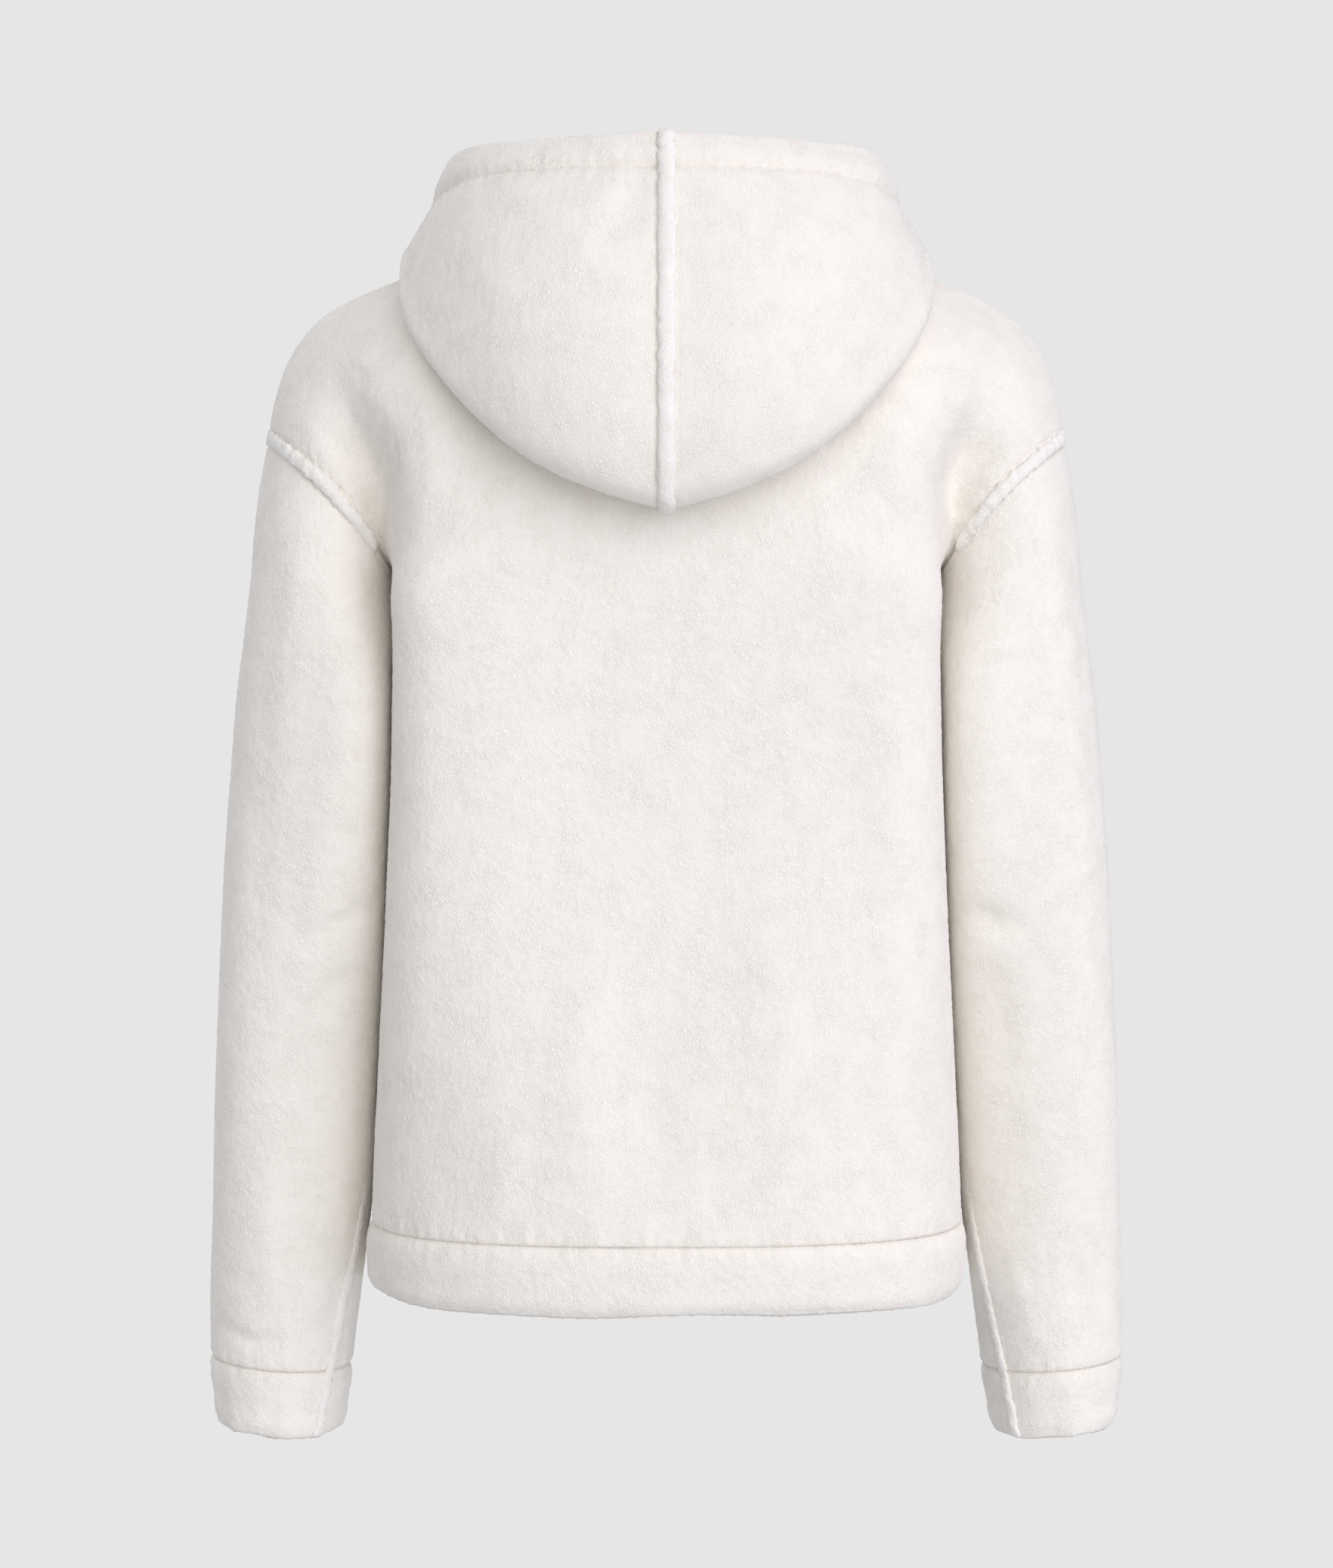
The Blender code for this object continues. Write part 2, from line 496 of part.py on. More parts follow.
def edge_loops(rows, columns, closed, last, right):
    """Outlines of a grid as lists of (row, column, gap of the edge that leaves this corner)."""
    if closed:
        return [[(0, column, SEAM / 2) for column in range(columns)],
                [(rows - 1, column, last) for column in reversed(range(columns))]]
    outline = [(0, column, SEAM / 2) for column in range(columns - 1)]
    outline += [(row, columns - 1, right) for row in range(rows - 1)]
    outline += [(rows - 1, column, last) for column in range(columns - 1, 0, -1)]
    outline += [(row, 0, SEAM / 2) for row in range(rows - 1, 0, -1)]
    return [outline]


def seam_moves(grid, normals, closed=False, last=SEAM / 2, right=SEAM / 2):
    """Moves that draw each edge of a grid back within the cloth, square to that edge."""
    moves = np.zeros_like(grid)
    middle = np.cross(grid[:, 1] - grid[:, 0], grid[1, 0] - grid[0, 0])[0]
    turn = 1.0 if middle @ normals[0, 0] > 0 else -1.0
    for loop in edge_loops(grid.shape[0], grid.shape[1], closed, last, right):
        for index, (row, column, gap_after) in enumerate(loop):
            before, after = loop[index - 1], loop[(index + 1) % len(loop)]
            inward = []
            for start, end in ((before[:2], (row, column)), ((row, column), after[:2])):
                run = grid[end] - grid[start]
                inward.append(unit(np.cross(normals[start] + normals[end], run)) * turn)
            gap_before = before[2]
            cosine = float(np.clip(inward[0] @ inward[1], *MITRE_LIMITS))
            scale = 1.0 - cosine * cosine
            moves[row, column] = (inward[0] * (gap_before - gap_after * cosine)
                                  + inward[1] * (gap_after - gap_before * cosine)) / scale
    return moves


def cloth_material(name):
    """Plain cream pile fabric."""
    material = bpy.data.materials.new(name + "_cloth")
    material.use_nodes = True
    shader = material.node_tree.nodes["Principled BSDF"]
    shader.inputs["Base Color"].default_value = (*CREAM, 1.0)
    shader.inputs["Roughness"].default_value = 0.95
    shader.inputs["Metallic"].default_value = 0.0
    return material


def solid(name, points, faces):
    """One closed named body from points in millimetres, its faces turned outward."""
    mesh = bpy.data.meshes.new(name)
    mesh.from_pydata([tuple(float(value) * MM for value in point) for point in points], [], faces)
    shape = bmesh.new()
    shape.from_mesh(mesh)
    bmesh.ops.recalc_face_normals(shape, faces=shape.faces)
    shape.to_mesh(mesh)
    shape.free()
    mesh.shade_smooth()
    mesh.materials.append(cloth_material(name))
    piece = bpy.data.objects.new(name, mesh)
    bpy.context.scene.collection.objects.link(piece)
    return piece


def two_triangles(points, corners):
    """A four-sided facet split along its shorter diagonal."""
    a, b, c, d = corners
    if np.linalg.norm(points[a] - points[c]) <= np.linalg.norm(points[b] - points[d]):
        return [(a, b, c), (a, c, d)]
    return [(b, c, d), (b, d, a)]


def wall(name, grid, normals, outer=0.0, inner=-WALL, closed=False, moves=0.0):
    """Closed wall of cloth on a grid: outer and inner give each row's offsets along the normal."""
    rows, columns = grid.shape[:2]
    outer = np.broadcast_to(np.asarray(outer, float), (rows,))
    inner = np.broadcast_to(np.asarray(inner, float), (rows,))
    outside = grid + normals * outer[:, None, None] + moves
    inside = grid + normals * inner[:, None, None] + moves
    points = np.concatenate((outside.reshape(-1, 3), inside.reshape(-1, 3)))
    back = rows * columns
    faces = []
    spans = columns if closed else columns - 1
    for row in range(rows - 1):
        for column in range(spans):
            beside = (column + 1) % columns
            corners = (row * columns + column, row * columns + beside,
                       (row + 1) * columns + beside, (row + 1) * columns + column)
            faces += two_triangles(points, corners)
            faces += two_triangles(points, tuple(back + corner for corner in reversed(corners)))
    for column in range(spans):
        beside = (column + 1) % columns
        for row in (0, rows - 1):
            edge = (row * columns + column, row * columns + beside)
            faces += two_triangles(points, (edge[0], edge[1], back + edge[1], back + edge[0]))
    if not closed:
        for row in range(rows - 1):
            for column in (0, columns - 1):
                edge = (row * columns + column, (row + 1) * columns + column)
                faces += two_triangles(points, (edge[0], edge[1], back + edge[1], back + edge[0]))
    return solid(name, points, faces)


def ridge(name, left_feet, middle, right_feet, up, height):
    """Half-round rope of pile along a seam, sinking at its ends. Its base follows the cloth."""
    sections = []
    for index, (left, centre, right, normal) in enumerate(zip(left_feet, middle, right_feet, up)):
        from_end = min(index, len(up) - 1 - index)
        tall = height * (RIDGE_ENDS[from_end] if from_end < len(RIDGE_ENDS) else 1.0)
        shoulder = normal * tall * RIDGE_SHOULDER
        left_shoulder = centre + (left - centre) * RIDGE_SHOULDER + shoulder
        right_shoulder = centre + (right - centre) * RIDGE_SHOULDER + shoulder
        sections.append([left, centre, right, right_shoulder, centre + normal * tall, left_shoulder])
    count = len(sections[0])
    points = [point for section in sections for point in section]
    faces = [tuple(range(count)), tuple(range(len(points) - count, len(points)))]
    for section in range(len(sections) - 1):
        first = section * count
        for corner in range(count):
            beside = (corner + 1) % count
            corners = (first + corner, first + beside, first + count + beside, first + count + corner)
            faces += two_triangles(points, corners)
    return solid(name, points, faces)


def foot(edge, beside, normal):
    """Foot of a ridge: half its width from the seam, along the cloth and just above it."""
    return edge + unit(beside - edge) * RIDGE_WIDTH / 2 + normal * RIDGE_LIFT


def body_normals(panels, bands):
    """Normals of the panels and of the hem band, shared along the side and shoulder seams."""
    whole = {facing: grid_normals(np.concatenate((bands[facing][:0:-1], panels[facing])), flip=facing == FRONT)
             for facing in (BACK, FRONT)}
    sides = slice(0, EDGE_STEPS + LOWER_ROWS)
    for column in (0, -1):
        common = shared(whole[BACK][sides, column], whole[FRONT][sides, column])
        whole[BACK][sides, column] = common
        whole[FRONT][sides, column] = common
    neck_end = NECK_COLUMNS - 1
    for shoulder in (slice(0, CENTRE - neck_end + 1), slice(CENTRE + neck_end, 2 * CENTRE + 1)):
        common = shared(whole[BACK][-1, shoulder], whole[FRONT][-1, shoulder])
        whole[BACK][-1, shoulder] = common
        whole[FRONT][-1, shoulder] = common
    panel_normals = {facing: whole[facing][EDGE_STEPS:] for facing in whole}
    band_normals = {facing: whole[facing][EDGE_STEPS::-1] for facing in whole}
    return panel_normals, band_normals


def join_neck(panel_normals, hood_normals):
    """Make the panels and the hood share their normals along the neck seam."""
    for facing in (BACK, FRONT):
        for column in range(NECK_COLUMNS):
            hood_column = column if facing == BACK else HOOD_STEPS - column
            common = shared(panel_normals[facing][-1, CENTRE + column], hood_normals[0, hood_column])
            hood_normals[0, hood_column] = common
            panel_normals[facing][-1, CENTRE + column] = common
            panel_normals[facing][-1, CENTRE - column] = mirrored(common)
    end = NECK_COLUMNS - 1
    for facing in (BACK, FRONT):
        panel_normals[facing][-1, CENTRE + end] = hood_normals[0, end]
        panel_normals[facing][-1, CENTRE - end] = mirrored(hood_normals[0, end])


def armhole_normal(panel, panel_normals, sleeve, sleeve_normals, step, column):
    """Outward direction on the armhole seam, between those of the panel and of the sleeve."""
    row = LOWER_ROWS + step
    seam = panel[row, -1]
    along = unit(panel[row + 1, -1] - panel[row - 1, -1])
    lean = into((panel[row - 1, -2], panel[row, -2]), seam, along) + into((sleeve[1, column],), seam, along)
    return shared(panel_normals[row, -1], sleeve_normals[0, column], lean)


def join_armhole(panels, panel_normals, sleeve, sleeve_normals):
    """Make the panels and the sleeve share their normals along the armhole seam.

    Under the arm the cloth folds back on itself, and there the shared normal turns straight down
    into the crease.
    """
    around = 2 * ARM_STEPS
    commons = np.zeros((around, 3))
    commons[0] = shared(panel_normals[BACK][-1, -1], panel_normals[FRONT][-1, -1], sleeve_normals[0, 0])
    for facing in (BACK, FRONT):
        for step in range(CREASE_STEPS, ARM_STEPS):
            column = ARM_STEPS + facing * step
            commons[column] = armhole_normal(panels[facing], panel_normals[facing], sleeve, sleeve_normals,
                                             step, column)
        end = commons[ARM_STEPS + facing * CREASE_STEPS]
        for step in range(CREASE_STEPS):
            share = step / CREASE_STEPS
            commons[ARM_STEPS + facing * step] = unit(share * end + (1.0 - share) * DOWN)
    sleeve_normals[0] = commons
    for facing in (BACK, FRONT):
        for step in range(ARM_STEPS + 1):
            common = commons[(ARM_STEPS + facing * step) % around]
            panel_normals[facing][LOWER_ROWS + step, -1] = common
            panel_normals[facing][LOWER_ROWS + step, 0] = mirrored(common)


def build_panels(panels, panel_normals):
    """Back and front panels. Gives back their grids with the folds in them."""
    shaped = {}
    for facing, name in ((BACK, "back_panel"), (FRONT, "front_panel")):
        normals = panel_normals[facing]
        shaped[facing] = folded(panels[facing], normals, "body")
        wall(name, shaped[facing], normals, moves=seam_moves(shaped[facing], normals))
    return shaped


def build_hem_band(bands, band_normals):
    """One doubled ring of cloth, from the back's columns on to the front's."""
    ring = np.concatenate((bands[BACK], bands[FRONT][:, -2:0:-1]), axis=1)
    normals = np.concatenate((band_normals[BACK], band_normals[FRONT][:, -2:0:-1]), axis=1)
    outer, inner = edge_offsets(BAND_SWELL)
    moves = seam_moves(ring, normals, closed=True, last=0.0)
    wall("hem_band", ring, normals, outer, inner, closed=True, moves=moves)


def build_sleeve(side, grid, normals):
    """A sleeve and its doubled cuff. Gives back the sleeve's grid with the folds in it."""
    arm = folded(grid[:SLEEVE_ROWS + 1], normals[:SLEEVE_ROWS + 1], "sleeve", closed=True)
    arm_normals = normals[:SLEEVE_ROWS + 1]
    wall("sleeve_" + side, arm, arm_normals, closed=True, moves=seam_moves(arm, arm_normals, closed=True))
    cuff = grid[SLEEVE_ROWS:]
    cuff_normals = normals[SLEEVE_ROWS:]
    outer, inner = edge_offsets(CUFF_SWELL)
    moves = seam_moves(cuff, cuff_normals, closed=True, last=0.0)
    wall("cuff_" + side, cuff, cuff_normals, outer, inner, closed=True, moves=moves)
    return arm


def hood_offsets():
    """Outer and inner offsets of the hood's rows: plain cloth, then the casing along the opening."""
    rows = ROLL_ROWS + INNER_ROWS + OUTER_ROWS
    casing_outer, casing_inner = edge_offsets(CASING_SWELL)
    casing_outer[0] = -CASING_GROOVE
    outer = np.concatenate((np.zeros(rows), casing_outer))
    inner = np.concatenate((np.full(rows, -WALL), casing_inner))
    return outer, inner


def build_hood_half(side, grid, normals):
    """Half of the hood, with its casing turned in. Gives back its grid with the folds in it."""
    shaped = folded(grid, normals, "hood")
    outer, inner = hood_offsets()
    wall("hood_" + side, shaped, normals, outer, inner,
         moves=seam_moves(shaped, normals, last=0.0, right=FRONT_SLIT))
    return shaped


def build_hood_seam(halves, normals):
    """Raised seam up the middle of the hood's outer layer, from its fold to the casing's edge."""
    outer, _ = hood_offsets()
    left, middle, right, up = [], [], [], []
    for row in range(HOOD_RIDGE_ROW, len(outer) - 1):
        normal = normals[row, 0]
        swell = normal * outer[row]
        up.append(normal)
        middle.append(halves["right"][row, 0] + normal * RIDGE_LIFT + swell)
        right.append(foot(halves["right"][row, 0], halves["right"][row, 1], normal) + swell)
        left.append(foot(halves["left"][row, 0], halves["left"][row, 1], normal) + swell)
    ridge("hood_seam", left, middle, right, up, RIDGE_HEIGHT)


def build_armhole_seam(side, panels, panel_normals, arm, arm_normals):
    """Raised seam round an armhole, left out under the arm."""
    edge, beside = (-1, -2) if side == "right" else (0, 1)
    steps = [step for step in range(ARM_STEPS + 1) if 180.0 * step / ARM_STEPS <= ARMHOLE_RIDGE_END]
    places = [(BACK, step) for step in reversed(steps)] + [(FRONT, step) for step in steps[1:]]
    left, middle, right, up = [], [], [], []
    for facing, step in places:
        row = LOWER_ROWS + ARM_STEPS - step
        column = -facing * step % (2 * ARM_STEPS)
        seam = panels[facing][row, edge]
        left.append(foot(seam, panels[facing][row, beside], panel_normals[facing][row, beside]))
        right.append(foot(seam, arm[1, column], arm_normals[1, column]))
        up.append(arm_normals[0, column])
        middle.append(seam + up[-1] * RIDGE_LIFT)
    ridge("armhole_seam_" + side, left, middle, right, up, RIDGE_HEIGHT)


def build_sleeve_seam(side, arm, grid, normals):
    """Raised seam along the inside of a forearm and across its cuff."""
    outer, _ = edge_offsets(CUFF_SWELL)
    rows = range(SLEEVE_RIDGE_ROW, SLEEVE_ROWS + EDGE_STEPS)
    left, middle, right, up = [], [], [], []
    for row in rows:
        share = (row - rows[0]) / (len(rows) - 1)
        place = ARM_STEPS - ARM_STEPS * (SLEEVE_RIDGE_START + SLEEVE_RIDGE_TURN * share) / 180.0
        column = int(place)
        blend = place - column
        ring = arm[row] if row <= SLEEVE_ROWS else grid[row]
        swell = outer[row - SLEEVE_ROWS] if row > SLEEVE_ROWS else 0.0
        normal = shared(normals[row, column] * (1 - blend), normals[row, column + 1] * blend)
        centre = ring[column] * (1 - blend) + ring[column + 1] * blend + normal * (RIDGE_LIFT + swell)
        aside = unit(ring[column + 1] - ring[column]) * RIDGE_WIDTH / 2
        left.append(centre - aside)
        middle.append(centre)
        right.append(centre + aside)
        up.append(normal)
    ridge("sleeve_seam_" + side, left, middle, right, up, SLEEVE_RIDGE_HEIGHT)


def build_garment():
    """Every sewn piece of the pullover."""
    panels = {facing: both_halves(half_panel(facing)) for facing in (BACK, FRONT)}
    bands = {facing: both_halves(half_band(facing)) for facing in (BACK, FRONT)}
    panel_normals, band_normals = body_normals(panels, bands)
    sleeve = sleeve_grid()
    sleeve_normals = grid_normals(sleeve, closed=True)
    hood = hood_grid()
    hood_normals = grid_normals(np.concatenate((mirrored(hood[:, 1:2]), hood, mirrored(hood[:, -2:-1])),
                                               axis=1))[:, 1:-1]
    join_neck(panel_normals, hood_normals)
    join_armhole(panels, panel_normals, sleeve, sleeve_normals)

    panels = build_panels(panels, panel_normals)
    build_hem_band(bands, band_normals)
    halves = {}
    for side, turned in (("right", np.array), ("left", mirrored)):
        grid, normals = turned(sleeve), turned(sleeve_normals)
        arm = build_sleeve(side, grid, normals)
        build_sleeve_seam(side, arm, grid, normals)
        build_armhole_seam(side, panels, panel_normals, arm, normals)
        halves[side] = build_hood_half(side, turned(hood), turned(hood_normals))
    build_hood_seam(halves, hood_normals)


for leftover in list(bpy.data.objects):
    bpy.data.objects.remove(leftover, do_unlink=True)
build_garment()
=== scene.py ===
"""Looks of the sherpa fleece hooded pullover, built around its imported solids.

Each sewn piece of cloth is made again here from the same tables and curves as its solid, with many
more points: an outer side with folds, seams that sink and pucker, and pile that parts into locks,
and a plain inner side. Tables are in millimetres, in the frame of the CAD: +Z is up, the wearer
faces +Y and the wearer's right side is at +X. MM turns them into metres when a mesh is made.
"""
import math

import bmesh
import bpy
import numpy as np
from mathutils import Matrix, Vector


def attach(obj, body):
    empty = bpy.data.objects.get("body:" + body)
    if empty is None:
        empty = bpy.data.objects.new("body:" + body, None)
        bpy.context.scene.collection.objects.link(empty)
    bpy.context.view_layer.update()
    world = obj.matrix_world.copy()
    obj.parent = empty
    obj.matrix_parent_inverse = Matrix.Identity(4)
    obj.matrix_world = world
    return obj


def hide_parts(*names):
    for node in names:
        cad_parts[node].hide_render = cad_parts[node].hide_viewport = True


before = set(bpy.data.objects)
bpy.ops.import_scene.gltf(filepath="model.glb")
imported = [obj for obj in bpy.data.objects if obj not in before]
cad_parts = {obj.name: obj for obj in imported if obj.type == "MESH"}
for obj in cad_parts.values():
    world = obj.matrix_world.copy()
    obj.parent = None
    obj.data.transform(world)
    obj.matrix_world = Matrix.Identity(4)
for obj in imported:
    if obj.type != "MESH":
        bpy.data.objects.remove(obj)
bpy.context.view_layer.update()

MM = 0.001

BACK, FRONT = -1, 1     # which way along Y a panel faces
DOWN = np.array((0.0, 0.0, -1.0))

# Cloth
WALL = 4.0            # sherpa with its pile
DOUBLE_WALL = 7.0     # cloth turned back on itself: hem band, cuffs and hood casing
# Body
NECK_HALF_WIDTH = 88.0
NECK_BACK_DEPTH = 78.0
NECK_FRONT_DEPTH = 82.0
NECK_BACK_DROP = 18.0
NECK_FRONT_DROP = 78.0
NECK_BACK_CURVE = 1.2     # how late the drop comes on the way from the side to the centre
NECK_FRONT_CURVE = 1.6
UNDERARM_Z = -205.0
HEM_SEAM_SIDE_Z = -585.0
HEM_SEAM_BACK_DIP = 6.0
HEM_SEAM_FRONT_DIP = 4.0
BAND_HEIGHT = 39.5
BAND_SWELL = 1.2        # how far the band swells out halfway down
BODY_SQUARENESS = 2.8   # exponent of the front's superellipse: 2 is an ellipse, more is squarer

# A doubled edge, from its seam to its free end, which turns round on itself.
DOUBLED_EDGE = [
    # share of the width, half thickness, share of the swell
    (0.0, WALL / 2, 0.0),
    (0.16, DOUBLE_WALL / 2, 0.5),
    (0.60, DOUBLE_WALL / 2, 1.0),
    (0.90, 0.85 * DOUBLE_WALL / 2, 0.5),
    (1.0, 0.30 * DOUBLE_WALL / 2, 0.0),
]
EDGE_STEPS = len(DOUBLED_EDGE) - 1

# Rings of the body below the underarm. The back is flat between the armholes and rounds off below.
BODY_RINGS = [
    # z, half width, depth at the back, depth at the front, squareness of the back
    (-640, 170.5, 113, 121, 2.6),
    (-610, 173.8, 116, 124, 2.6),
    (-585, 174.7, 118, 125, 2.7),
    (-535, 172.5, 119, 126, 3),
    (-490, 169.5, 119, 126, 3.8),
    (-400, 164, 118, 126, 5.5),
    (-310, 160, 118, 127, 7),
    (-255, 158.8, 119.5, 127.5, 7.5),
    (-205, 158.8, 120.5, 127, 8),
]

# Shoulder seam, from the neck to the top of the armhole, in the plane y = 0.
SHOULDER_SEAM = [
    # share of the half panel, x, z
    (0.36, 88, 0),
    (0.52, 130, -16.5),
    (0.66, 172, -31.5),
    (0.76, 205, -48.5),
    (0.87, 227, -78),
]

# Upper back and upper front: how the cloth runs over the shoulder blade, folds in beside the
# armhole and swells again over the sleeve head. Each row climbs from the underarm to the top.
UPPER_BACK = [
    # climb, centre (x, y, z), beside the centre, below the shoulder's start, fold edge, valley, cap
    (0.200, (0, -120.5, -172), (57, -119, -167), (98, -114, -162),
     (154.5, -89, -171), (164, -54, -180), (169, -46, -186)),
    (0.533, (0, -115, -108), (53, -111.5, -102), (95, -101, -93),
     (160, -87, -130), (169.5, -57, -141), (188, -64, -148)),
    (0.722, (0, -105, -68), (55, -96, -58), (95, -81, -50),
     (175, -77, -91), (188, -66, -105), (209, -60, -118)),
    (0.861, (0, -93, -40), (61, -75, -30), (99, -44, -22),
     (179, -48, -60), (201, -46, -78), (222, -38, -101)),
]
UPPER_FRONT = [
    # the same columns for the front, where the neck is cut lower
    (0.200, (0, 126.5, -180), (57, 121.5, -175), (98, 111, -164),
     (156, 79, -172), (164, 52, -180), (169, 46, -186)),
    (0.533, (0, 120, -142), (55, 113, -127), (95, 104, -104),
     (161, 84, -130), (170, 58, -141), (188, 64, -148)),
    (0.722, (0, 110, -115), (58, 96, -85), (96, 82, -63),
     (175, 77, -92), (188, 66, -105), (209, 60, -118)),
    (0.861, (0, 97, -95), (64, 77, -60), (99, 45, -31),
     (179, 48, -61), (201, 46, -78), (222, 38, -101)),
]
STATIONS = (0.0, 0.18, 0.36, 0.66, 0.76, 0.87, 1.0)
LEAD_HEIGHTS = (-310.0, -255.0)     # body rings that lead the upper rows in from below
COLUMNS = (0.0, 0.06, 0.12, 0.18, 0.24, 0.30, 0.36, 0.46, 0.56, 0.66, 0.71, 0.76, 0.815, 0.87,
           0.935, 1.0)
CENTRE = len(COLUMNS) - 1   # column of the centre line, once both halves are joined
NECK_COLUMNS = 7        # the first columns lie on the neck edge, every 15 degrees
NECK_SHARE = 0.36       # share of the half panel that ends at the neck
LOWER_ROWS = 7          # rows from the hem seam to the underarm
ARM_STEPS = 12          # rows beside each armhole, and half the columns of a sleeve
CREASE_STEPS = 4        # of these, those in the crease under the arm, counted from its bottom

# Armhole: an oval loop that leans outward, bowed towards the neck at the front and back.
ARMHOLE_CENTRE = (198.0, -163.0)
ARMHOLE_LEAN = (0.678, 0.735)
ARMHOLE_HALF_HEIGHT = 56.3
ARMHOLE_HALF_DEPTH = 64.0
ARMHOLE_BOW = 6.0

# Rings of the sleeve, each an oval between its outer and its inner side.
SLEEVE_RINGS = [
    # outer (x, z), inner (x, z), half depth, centre y, slant dy/dx, squareness, tilt dz/dy
    ((242, -152), (161.3, -216), 66, -1, 0.05, 2.1, 0),
    ((245, -187), (160.6, -234), 66.5, -4, 0.15, 2.4, 0),
    ((248.8, -226), (160.3, -258), 66, -7, 0.28, 2.8, 0),
    ((254.7, -272), (160.6, -290), 64.5, -9, 0.34, 3, 0),
    ((258.6, -322), (161.8, -333), 62, -8, 0.30, 3, 0),
    ((262.2, -372), (163.8, -378), 58.5, -5, 0.20, 3, 0),
    ((264.8, -422), (166.3, -424), 55, -0.5, 0.10, 2.8, 0.02),
    ((267.3, -472), (169.6, -471), 51.8, 6.5, 0, 2.6, 0.04),
    ((270, -527), (173.2, -525), 48.6, 15.5, -0.04, 2.4, 0.06),
    ((272, -582), (177.7, -581), 45.6, 24.5, -0.04, 2.2, 0.08),
    ((274.5, -631), (184.4, -633), 43.2, 32, 0, 2.1, 0.08),
    ((274.8, -671), (190.5, -677), 41.6, 37.5, 0, 2, 0.08),
    ((271.5, -710.5), (196.2, -715.5), 40.5, 42, 0, 2, 0.10),
]
CUFF_SEAM_RING = 12     # the sleeve ends and the cuff starts at this ring, counted from the armhole
CUFF_SWELL = -1.0
SLEEVE_ROWS = 17

# Hood, let down on the back. Each row is a cut through it at an angle round the neck: 0 is the
# centre back, 90 the side and 180 the centre front. The cloth's right side is followed from the
# neck seam over the roll, down its inner layer, round the fold and up the outer layer to the edge
# of the opening.
HOOD_CUTS = [
    # angle, then (radius, z) of: rise, roll, turn, inner 1, inner 2, inner 3, fold, swell,
    # outer 1, outer 2, edge
    (0, (83, -5), (92, 9), (101, -4), (107, -58), (122, -112),
     (131, -156), (143, -174), (156, -164), (164, -120), (146, -22), (107, 45.5)),
    (30, (89, -2), (98, 10), (107, -3), (118, -44), (136, -88),
     (148, -128), (159, -143.5), (170, -134), (174, -94), (153, -12), (111, 44)),
    (50, (93, 2), (103, 12), (112, 0), (127, -28), (146, -58),
     (157, -86), (165, -98), (173, -90), (172, -64), (153, 0), (119.5, 43.5)),
    (62, (94, 4), (104, 13), (113, 2), (129, -16), (146, -36),
     (158, -56), (166, -65), (172.5, -57), (167.5, -36), (150.5, 3), (125, 44.5)),
    (76, (95, 6.5), (105, 14), (114, 4), (126, -7), (138, -17),
     (148, -27.5), (154.5, -34), (161, -27), (155.5, -14), (144, 7), (128, 42.5)),
    (90, (96, 8), (105, 14), (114, 5), (123, -4), (132, -11),
     (140, -16.5), (147, -19), (153, -12.5), (149, -1), (140, 13), (127.5, 36.5)),
    (110, (94, -6), (103, -1), (112, -8), (121, -17), (130, -25),
     (138, -31), (146, -34), (153, -27), (153, -16), (148, -3), (136, 16)),
    (140, (90, -41), (98, -34), (106, -41), (111, -50), (117, -59),
     (124, -67), (132, -71), (140, -65), (142, -54), (140, -41), (133, -25)),
    (180, (85, -68), (92, -60), (99, -66), (101, -76), (103, -86),
     (107, -95), (115, -99), (123, -93), (126, -82), (126, -70), (121, -57)),
]
ROLL_NODE = 2           # places of the roll and the fold in a cut, counted from the neck seam
FOLD_NODE = 7
HOOD_STEPS = 12         # columns from the centre back to the centre front
ROLL_ROWS = 3           # rows from the neck seam to the roll
INNER_ROWS = 9          # rows from the roll to the fold
OUTER_ROWS = 8          # rows from the fold to the casing
BEND_STEP = 6.5         # longest step beside the roll and the fold
BEND_SECOND = 2.2       # where the second row beside a bend lies, in steps
CASING_WIDTH = 26.0
CASING_SWELL = 1.2

# Fine surfaces: how close their points lie, how seams sink, and how the pile stands.
STEPS = {"back": 1.82, "front": 2.4, "band": 1.8, "sleeve": 1.9, "cuff": 1.7, "hood": 1.9}
INNER_STEP = 9.0
HOOD_INNER_STEP = 4.5
PLAIN_GROOVE = (1.1, 2.2)       # depth and reach of the groove beside a plain seam
HEM_GROOVE = (0.9, 2.2)
CASING_GROOVE = (2.2, 1.8)
RIDGE_GROOVE = (0.9, 1.3)       # the groove beside a raised seam
RIDGE_GROOVE_OFF = 0.6          # how far off the raised seam's foot it is deepest
EDGE_CROWN = 0.8                # how far a doubled edge is crowned at its free end
EDGE_FADE = 16.0                # distance from a seam at which a crease has its full height
EDGE_FADE_CURVE = 0.8
SEAM_PILE_LEFT = (0.25, 3.0)    # share of the pile left on a seam, and how far off all stands
CASING_STITCHES = (0.65, 0.45, 13.0, 0.95)  # share of the pile held down: mean, swing, wave, most
CASING_STITCHES_REACH = 1.3
PRESSED = 0.9                   # how far the pile of the sleeves fills up towards the body
PRESSED_FROM = (-150.0, 50.0)   # height where that starts, and within what it is full
PRESSED_TO = (-600.0, 60.0)     # height where it ends, and within what it fades out
PRESSED_FACING = (0.3, 0.4)     # how far cloth must face the body for it: start and span

# Puckers beside a seam: how far off they start, then the height, length and reach of each kind.
HEM_PUCKERS = (1.6, (0.75, 8.5, 6.5), (0.5, 21.0, 13.0))
CUFF_PUCKERS = (1.6, (0.8, 9.0, 7.0), (0.6, 24.0, 16.0))
CASING_PUCKERS = (1.5, (0.7, 8.0, 6.0), (0.5, 19.0, 12.0))
ARMHOLE_PUCKERS = (5.0, (0.6, 10.0, 6.0))
ARMHOLE_FADE = 8.0              # height in which what lies beside the armhole fades out

